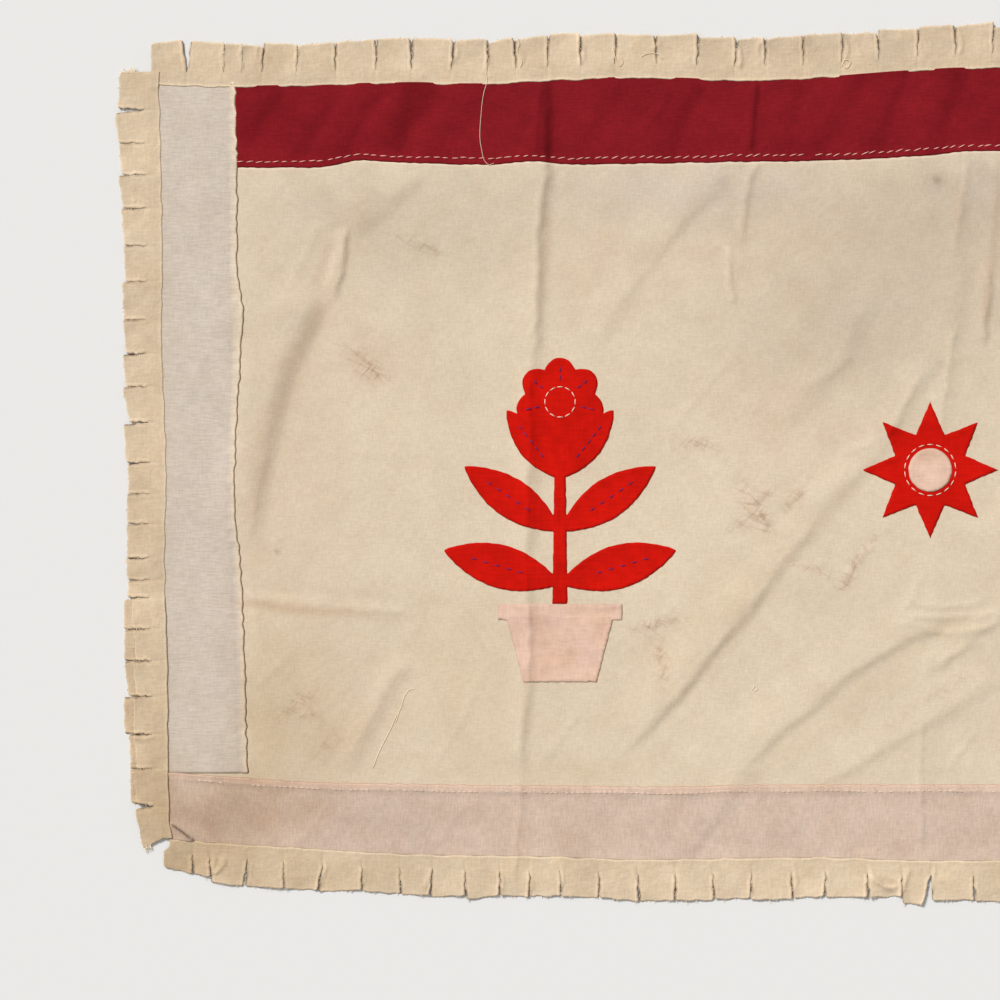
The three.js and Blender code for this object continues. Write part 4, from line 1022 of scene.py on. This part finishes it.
def over_under_ply(x, y):
    """Metres that the front ply of the fly strip is raised where a second ply or the top strip
    lies under it."""
    return OVER_PLY * smooth(592, 604, y) + OVER_PLY * smooth(92, 86, y) * smooth(148, 152, x)


fringe_cotton = cotton("fringe_cotton_cloth", shade(212, 192, 166), yarn=(90, 460), depth=0.055,
                       blotch=0.03, cloud=0.03, soil=(0.96, 0.93, 0.89), crumple=0.5)
top_grids = list(fringe_tabs(to_hoist(TOP_TABS, outer=28), first=159, seam_line=TOP_SEAM, root_depth=12,
                             outwards=-1, order="xy", seed=61, corners=(-7.5, 0)))
# The top strip's fold gets a stronger painted highlight.
top_fringe = fringe("top_fringe_cloth", top_grids, fringe_cotton, rim=0.3)
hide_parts("fringe_top")

fly_grids = list(fringe_tabs(FLY_TABS, first=72, seam_line=FLY_SEAM, root_depth=14, outwards=-1,
                             order="yx", seed=62, corners=(0, 3), lift_all=over_under_ply))
fly_fringe = fringe("fly_fringe_cloth", fly_grids, fringe_cotton)
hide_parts("fringe_fly")

under_tabs = fringe_tabs(FLY_UNDER_TABS, first=599.5, seam_line=FLY_SEAM, root_depth=14, outwards=-1,
                         order="yx", seed=63, corners=(0, 3))
under_grids = [(x, y, rise(x, y) + UNDER_HEIGHT, *others) for x, y, _, *others in under_tabs]
# The under ply is given a darker tint.
fly_under = fringe("fly_fringe_under_cloth", under_grids, fringe_cotton, ply_tint=(0.93, 0.905, 0.87))
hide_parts("fringe_fly_back")

foot_grids = list(fringe_tabs(to_hoist(FOOT_TABS, outer=901), first=170, seam_line=FOOT_SEAM,
                              root_depth=12, outwards=1, order="xy", seed=64, corners=(-6, 0)))
foot_fringe = fringe("foot_fringe_cloth", foot_grids, fringe_cotton)
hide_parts("fringe_foot")

# Loose ends: yarn that has frayed out of the cut edges, and lengths of broken sewing thread
# that lie on the strips and the cloth in loops.
FRAY_RADIUS = 0.0002
CORNER_FRAYS = {"every": 0.45, "longest": 5.5}      # the raw ends of the fly strip, much frayed
CORNER_FRAY_RADIUS = 0.00026
FRAY_FLOOR = 0.0004                 # metres above the floor that no fray sinks below
STRIP_STANDS = 0.0008               # metres that the top strip stands above the band
LOOSE_LIFT = 0.0004
LOOSE_PLACES = 24
LOOSE_THREADS = (
    # radius in metres, and the places of the loose thread on the plan
    (0.00026, ((487, 66), (486, 74), (487, 82), (484, 92), (482, 104), (481, 116), (480, 128), (480, 140),
               (482, 152), (484, 160), (489, 165), (494, 163))),
    (0.00032, ((612.5, 47), (614.5, 55), (616.5, 62), (619.5, 66.5), (622.5, 62.5), (620.5, 56))),
    (0.00032, ((641, 57), (646, 54.3), (652, 53.6), (658, 54.6), (662, 59))),
    (0.00032, ((841, 66), (845, 60), (850, 62), (846, 68), (842, 64))),
    (0.0004, ((396, 722), (399, 712), (402, 705), (404, 697), (409, 690), (414, 689))),
    (0.00032, ((752, 690), (755, 686), (757, 689), (754, 692))),
    (0.0004, ((373, 768), (379, 752), (386, 738), (392, 726), (397, 714))),
    (0.00032, ((222, 66), (223, 72), (228, 79), (231, 85))),
    (0.00032, ((516, 36), (519, 44), (517, 52), (522, 60), (520, 68))),
)
EDGE_INDEX = {
    # where a tab grid has its cut edges, and the places two cells further in
    "outer": (np.s_[:, -1], np.s_[:, -3]), "start": (np.s_[0, :], np.s_[2, :]),
    "end": (np.s_[-1, :], np.s_[-3, :]),
}


def frays(grids, seed, every=5.5, longest=2.4, edges=tuple(EDGE_INDEX)):
    """Loose yarn ends of four places that stick out of the cut edges, one to every few plan units:
    along the outer edge of each tab and out of its cuts."""
    draw = np.random.default_rng(seed)
    share = np.array([-0.4, 0.2, 0.65, 1.0])
    found = []
    for x, y, z, _, t, *_ in grids:
        if x.max() > SEEN_TO_X + 30:
            continue
        for edge in edges:
            at, inside = EDGE_INDEX[edge]
            ex, ey, ez = x[at], y[at], z[at]
            out = np.stack([ex - x[inside], ey - y[inside]], -1)
            out /= np.linalg.norm(out, axis=1, keepdims=True) + 1e-9
            size = np.hypot(np.ptp(ex), np.ptp(ey))
            pick = draw.integers(1, len(ex) - 1, int(size / every * (1 if edge == "outer" else 0.9)))
            pick = pick[t[at][pick] > 0.35]
            n = len(pick)
            angle, bend = draw.uniform(-1.1, 1.1, n), draw.uniform(-0.9, 0.9, n)
            length = (longest * draw.uniform(0.3, 1.0, n))[:, None]
            turn = angle[:, None] + bend[:, None] * share
            out_x, out_y = out[pick, :, None].transpose(1, 0, 2)
            dx = out_x * np.cos(turn) - out_y * np.sin(turn)
            dy = out_x * np.sin(turn) + out_y * np.cos(turn)
            px = ex[pick, None] + draw.uniform(-1, 1, n)[:, None] * 0.6 + dx * share * length
            py = ey[pick, None] + draw.uniform(-1, 1, n)[:, None] * 0.6 + dy * share * length
            pz = ez[pick, None] - 0.0002 + 0.0003 * draw.uniform(-1, 1, n)[:, None] * share
            found.append(points_at(px, py, np.maximum(pz, FRAY_FLOOR)))
    return np.concatenate(found)


def lies_at(x, y):
    """Height above the rise of the cloth face that a loose thread lies on: the ground, the
    crimson band with its wrinkles, or the top strip."""
    on_strip = smooth(1, -1, y - along(TOP_SEAM, x)) * STRIP_STANDS
    band_share = smooth(2, -2, y - along(TOP_BAND_EDGE, x))
    on_band = band_share * (BAND_PLY + LAYER_GAP) + wrinkles(x, y) * band_share
    return GROUND_PLY + LOOSE_LIFT + on_band + on_strip


def loose_path(row):
    """One smooth path through a loose thread's row of plan places."""
    number = np.arange(len(row), dtype=float)
    t = np.linspace(0, len(row) - 1, LOOSE_PLACES)
    x, y = (along(np.stack([number, values], 1), t) for values in np.array(row, float).T)
    return points_at(x, y, rise(x, y) + lies_at(x, y))[None]


fray_groups = [
    (frays(top_grids, seed=101), FRAY_RADIUS),
    (frays(fly_grids, seed=102), FRAY_RADIUS),
    (frays(under_grids, seed=103, every=2.5, longest=1.8), FRAY_RADIUS),
    (frays(foot_grids, seed=104), FRAY_RADIUS),
    (frays(fly_grids[:1], seed=105, edges=("start",), **CORNER_FRAYS), CORNER_FRAY_RADIUS),
    (frays(fly_grids[-1:], seed=106, edges=("end",), **CORNER_FRAYS), CORNER_FRAY_RADIUS),
]
loose_groups = [(loose_path(row), radius) for radius, row in LOOSE_THREADS]
threads("frayed_yarn", fray_groups + loose_groups, yarn("fray_thread", shade(246, 230, 204)))


# The patches: a potted plant and a star with a round eye, cut from scarlet and pale pink
# cotton, turned under at the edge and sewn down with small stitches that draw the edge in.
PATCH_PLY = 0.0005
PATCH_CELL = 0.0016
PATCH_TURNING = 0.005
PATCH_WAVER = 0.00028               # metres that a patch's turned edge strays
PATCH_FOLD = 0.00025                # metres that its doubled edge stands up
PATCH_GAP = 0.0003                  # metres between the plant and the pot's rim
PATCH_SETTLING = 4                  # times that the rim's points are moved towards the outline
PLANT = {"x": 560, "base": 682, "pot_top": 604, "flower_y": 402, "petals": 7, "radius": 0.047, "dip": 0.2}
STEM = {"foot": 0.016, "head": 0.010}
CALYX_DROP = 0.044
CALYX_RADIUS = 0.012
LEAVES = (
    # share of the way up the stem, length, width, degrees above level
    (0.10, 0.128, 0.046, 16),
    (0.36, 0.122, 0.042, 34),
    (0.62, 0.092, 0.033, 52),
)
POT = {"rim": 0.132, "rim_height": 0.017, "shoulder": 0.112, "foot": 0.078, "tuck": 0.001}
STAR = {"x": 930, "y": 470, "points": 8, "outer": 0.072, "inner": 0.040, "eye": 0.023}
foot_x, pot_y = from_plan(PLANT["x"], PLANT["pot_top"])
foot_y = pot_y + PATCH_GAP
head_x, head_y = from_plan(PLANT["x"], PLANT["flower_y"])
base_y = from_plan(PLANT["x"], PLANT["base"])[1]
star_x, star_y = from_plan(STAR["x"], STAR["y"])


def leaf_places():
    """Foot and direction of each leaf: pairs that mirror each other about the stem."""
    for share, length, width, degrees in LEAVES:
        height = foot_y + share * (head_y - foot_y)
        for angle in (np.radians(degrees), np.pi - np.radians(degrees)):
            yield foot_x, height, length, width, angle


def in_leaf(x, y, at_x, at_y, length, width, angle):
    """Less than 0 inside a leaf whose half width is a sine arch, raised to 0.8, of its length."""
    s = ((x - at_x) * np.cos(angle) + (y - at_y) * np.sin(angle)) / length
    v = np.abs(-(x - at_x) * np.sin(angle) + (y - at_y) * np.cos(angle))
    body = v - width / 2 * np.sin(np.pi * np.clip(s, 0, 1)) ** 0.8
    past = np.hypot(length * np.maximum(np.abs(s - 0.5) - 0.5, 0), v)
    return np.where((s > 0) & (s < 1), body, past)


def in_taper(x, y, low, high, foot, head):
    """Less than 0 inside an upright shape between two heights, as wide as foot at the lower one
    and as head at the upper one."""
    share = np.clip((y - low) / (high - low), 0, 1)
    half_width = (foot + share * (head - foot)) / 2
    return np.abs(x - foot_x) - half_width


def in_plant(x, y):
    """Less than 0 inside the stem, a leaf, the scalloped flower or the round calyx under it."""
    stem = in_taper(x, y, foot_y, head_y, STEM["foot"], STEM["head"])
    inside = np.maximum(np.maximum(stem, foot_y - y), y - head_y)
    for leaf in leaf_places():
        inside = np.minimum(inside, in_leaf(x, y, *leaf))
    angle = np.arctan2(x - head_x, y - head_y)
    petals = 1 - np.abs(np.cos(angle * PLANT["petals"] / 2))
    radius = PLANT["radius"] * (1 - PLANT["dip"] * petals)
    inside = np.minimum(inside, np.hypot(x - head_x, y - head_y) - radius)
    return np.minimum(inside, np.hypot(x - head_x, y - head_y + CALYX_DROP) - CALYX_RADIUS)


def in_pot(x, y):
    """Less than 0 inside the rim or the tapering body of the pot, which runs up under it."""
    low = pot_y - POT["rim_height"]
    rim = np.maximum(np.maximum(np.abs(x - foot_x) - POT["rim"] / 2, y - pot_y), low - y)
    side = in_taper(x, y, base_y, low, POT["foot"], POT["shoulder"])
    body = np.maximum(np.maximum(side, y - low - POT["tuck"]), base_y - y)
    return np.minimum(rim, body)


def in_star(x, y):
    """Less than 0 inside the star: the angle is folded into half a point, where the edge is one
    straight line from the outer corner to the inner one."""
    sector = np.pi / STAR["points"]
    angle = np.arctan2(x - star_x, y - star_y)
    folded = np.abs((angle + sector) % (2 * sector) - sector)
    radius = np.hypot(x - star_x, y - star_y)
    a, b = radius * np.cos(folded), radius * np.sin(folded)
    inner_a, inner_b = STAR["inner"] * np.cos(sector), STAR["inner"] * np.sin(sector)
    edge = np.array((inner_a - STAR["outer"], inner_b))
    normal = np.array((edge[1], -edge[0])) / np.hypot(*edge)
    return (a - STAR["outer"]) * normal[0] + b * normal[1]


def in_eye(x, y):
    """Less than 0 inside the round eye."""
    return np.hypot(x - star_x, y - star_y) - STAR["eye"]


def to_plan(x, y):
    """The plan place of a point in metres."""
    return x / PLAN_UNIT + PLAN_MIDDLE[0], PLAN_MIDDLE[1] - y / PLAN_UNIT


def patch(name, inside, centre, half_sizes, level, material, seed):
    """A cloth patch from a grid of square cells. A cell is kept where the inside function is
    below 0 at its middle, and the points on the rim of the kept cells are then moved onto the
    line where it is 0. The turned edge is doubled and rounded, and draws in at the stitches."""
    across, down = (np.arange(-half, half + PATCH_CELL, PATCH_CELL) for half in half_sizes)
    x, y = np.meshgrid(centre[0] + across, centre[1] - down, indexing="ij")

    def shape(px, py):
        return inside(px, py) + PATCH_WAVER * ripple(*to_plan(px, py), 9, seed)

    kept = shape((x[:-1, :-1] + x[1:, 1:]) / 2, (y[:-1, :-1] + y[1:, 1:]) / 2) < 0
    around = np.zeros(x.shape)
    for i in (0, 1):
        for j in (0, 1):
            around[i:i + kept.shape[0], j:j + kept.shape[1]] += kept
    rim = (around > 0) & (around < 4)
    step = 1e-5
    for _ in range(PATCH_SETTLING):
        value = shape(x, y)
        slope_x = (shape(x + step, y) - value) / step
        slope_y = (shape(x, y + step) - value) / step
        steep = np.maximum(slope_x**2 + slope_y**2, 0.3)
        move = np.where(rim, np.clip(value / steep, -PATCH_CELL, PATCH_CELL), 0)
        x, y = x - move * slope_x, y - move * slope_y
    depth = -shape(x, y)
    place = to_plan(x, y)
    doubled = PATCH_FOLD * smooth(0, 0.0012, depth) * (1 - smooth(0.7, 1.3, depth / PATCH_TURNING))
    drawn = 0.00025 * ripple(*place, 6.5, seed + 1) * np.exp(-depth / 0.004)
    z = rise(*place) + level + PATCH_PLY + doubled + drawn - 0.0003 * np.exp(-depth / 0.0006)
    # Painted shade: darker at the turned edge, standing for the thin shade line there.
    tint = 1 - 0.2 * np.exp(-depth / 0.0007) + 0.05 * ripple(*place, 60, seed + 2)
    tint = tint + 0.04 * ripple(*place, 17, seed + 3)
    faces = grid_faces(*x.shape)[kept.ravel()]
    points = np.stack([x, y, z], -1).reshape(-1, 3)
    return closed_sheet(name, points, faces, PATCH_PLY, np.repeat(tint.reshape(-1, 1), 3, 1), material)


scarlet = cotton("scarlet_cotton_cloth", shade(201, 22, 12), yarn=(40, 420), level_share=0.6, depth=0.07,
                 blotch=0.03, cloud=0.04, soil=(0.93, 0.9, 0.9), gloss=0.04)
pale_pink = cotton("pink_cotton_cloth", shade(226, 192, 173), yarn=(60, 420), blotch=0.03, cloud=0.03)
plant_middle = (foot_x, (foot_y + head_y) / 2 + 0.02)
plant = patch("plant_patch", in_plant, plant_middle, (0.14, 0.145), BAND_LIFT, scarlet, seed=81)
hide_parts("plant")
pot_middle = (foot_x, (foot_y + base_y) / 2)
pot = patch("pot_patch", in_pot, pot_middle, (0.07, 0.046), BAND_LIFT, pale_pink, seed=84)
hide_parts("pot")
star = patch("star_patch", in_star, (star_x, star_y), (0.076, 0.076), BAND_LIFT, scarlet, seed=87)
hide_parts("star")
eye_lift = BAND_LIFT + PATCH_PLY + LAYER_GAP
star_eye = patch("star_eye_patch", in_eye, (star_x, star_y), (0.025, 0.025), eye_lift, pale_pink, seed=90)
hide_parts("star_eye")


# The embroidery on the patches: dark blue veins on the leaves and petals, and off-white rings
# of small stitches on the flower and around the star's eye, in thick cotton thread.
EMBROIDERY_HEIGHT = BAND_LIFT + PATCH_PLY + 0.0004
EMBROIDERY_STITCH = 0.0062
VEIN_SHARES = np.arange(0.34, 0.8, 0.1)     # of the way along a leaf
PETAL_VEINS = (0.026, 0.034)        # distances from the flower's middle
RINGS = (
    # middle, radius, stitches
    (head_x, head_y, 0.016, 12),
    (star_x, star_y, STAR["eye"] + 0.004, 18),
)
veins = []
for leaf_x, leaf_y, length, _, angle in leaf_places():
    for share in VEIN_SHARES:
        veins.append((leaf_x + share * length * np.cos(angle), leaf_y + share * length * np.sin(angle),
                      np.cos(angle), -np.sin(angle)))
for petal in range(-2, 3):
    angle = petal * 2 * np.pi / PLANT["petals"]
    for radius in PETAL_VEINS:
        veins.append((head_x + radius * np.sin(angle), head_y + radius * np.cos(angle),
                      np.sin(angle), -np.cos(angle)))
ring_stitches = []
for ring_x, ring_y, radius, count in RINGS:
    for angle in np.arange(count) * 2 * np.pi / count:
        ring_stitches.append((ring_x + radius * np.sin(angle), ring_y + radius * np.cos(angle),
                              np.cos(angle), np.sin(angle)))


def embroidered(name, rows, colour):
    """One piece of short stitches from rows of place and direction in metres."""
    mx, my, dx, dy = np.array(rows).T
    place = to_plan(mx, my)
    height = rise(*place) + EMBROIDERY_HEIGHT
    paths = stitch_paths(*place, dx, dy, height, EMBROIDERY_STITCH / PLAN_UNIT)
    return threads(name, [(paths, THREAD_RADIUS)], yarn(name + "_thread", colour))


embroidered("blue_veins", veins, shade(70, 50, 120))
embroidered("white_rings", ring_stitches, shade(235, 222, 205))
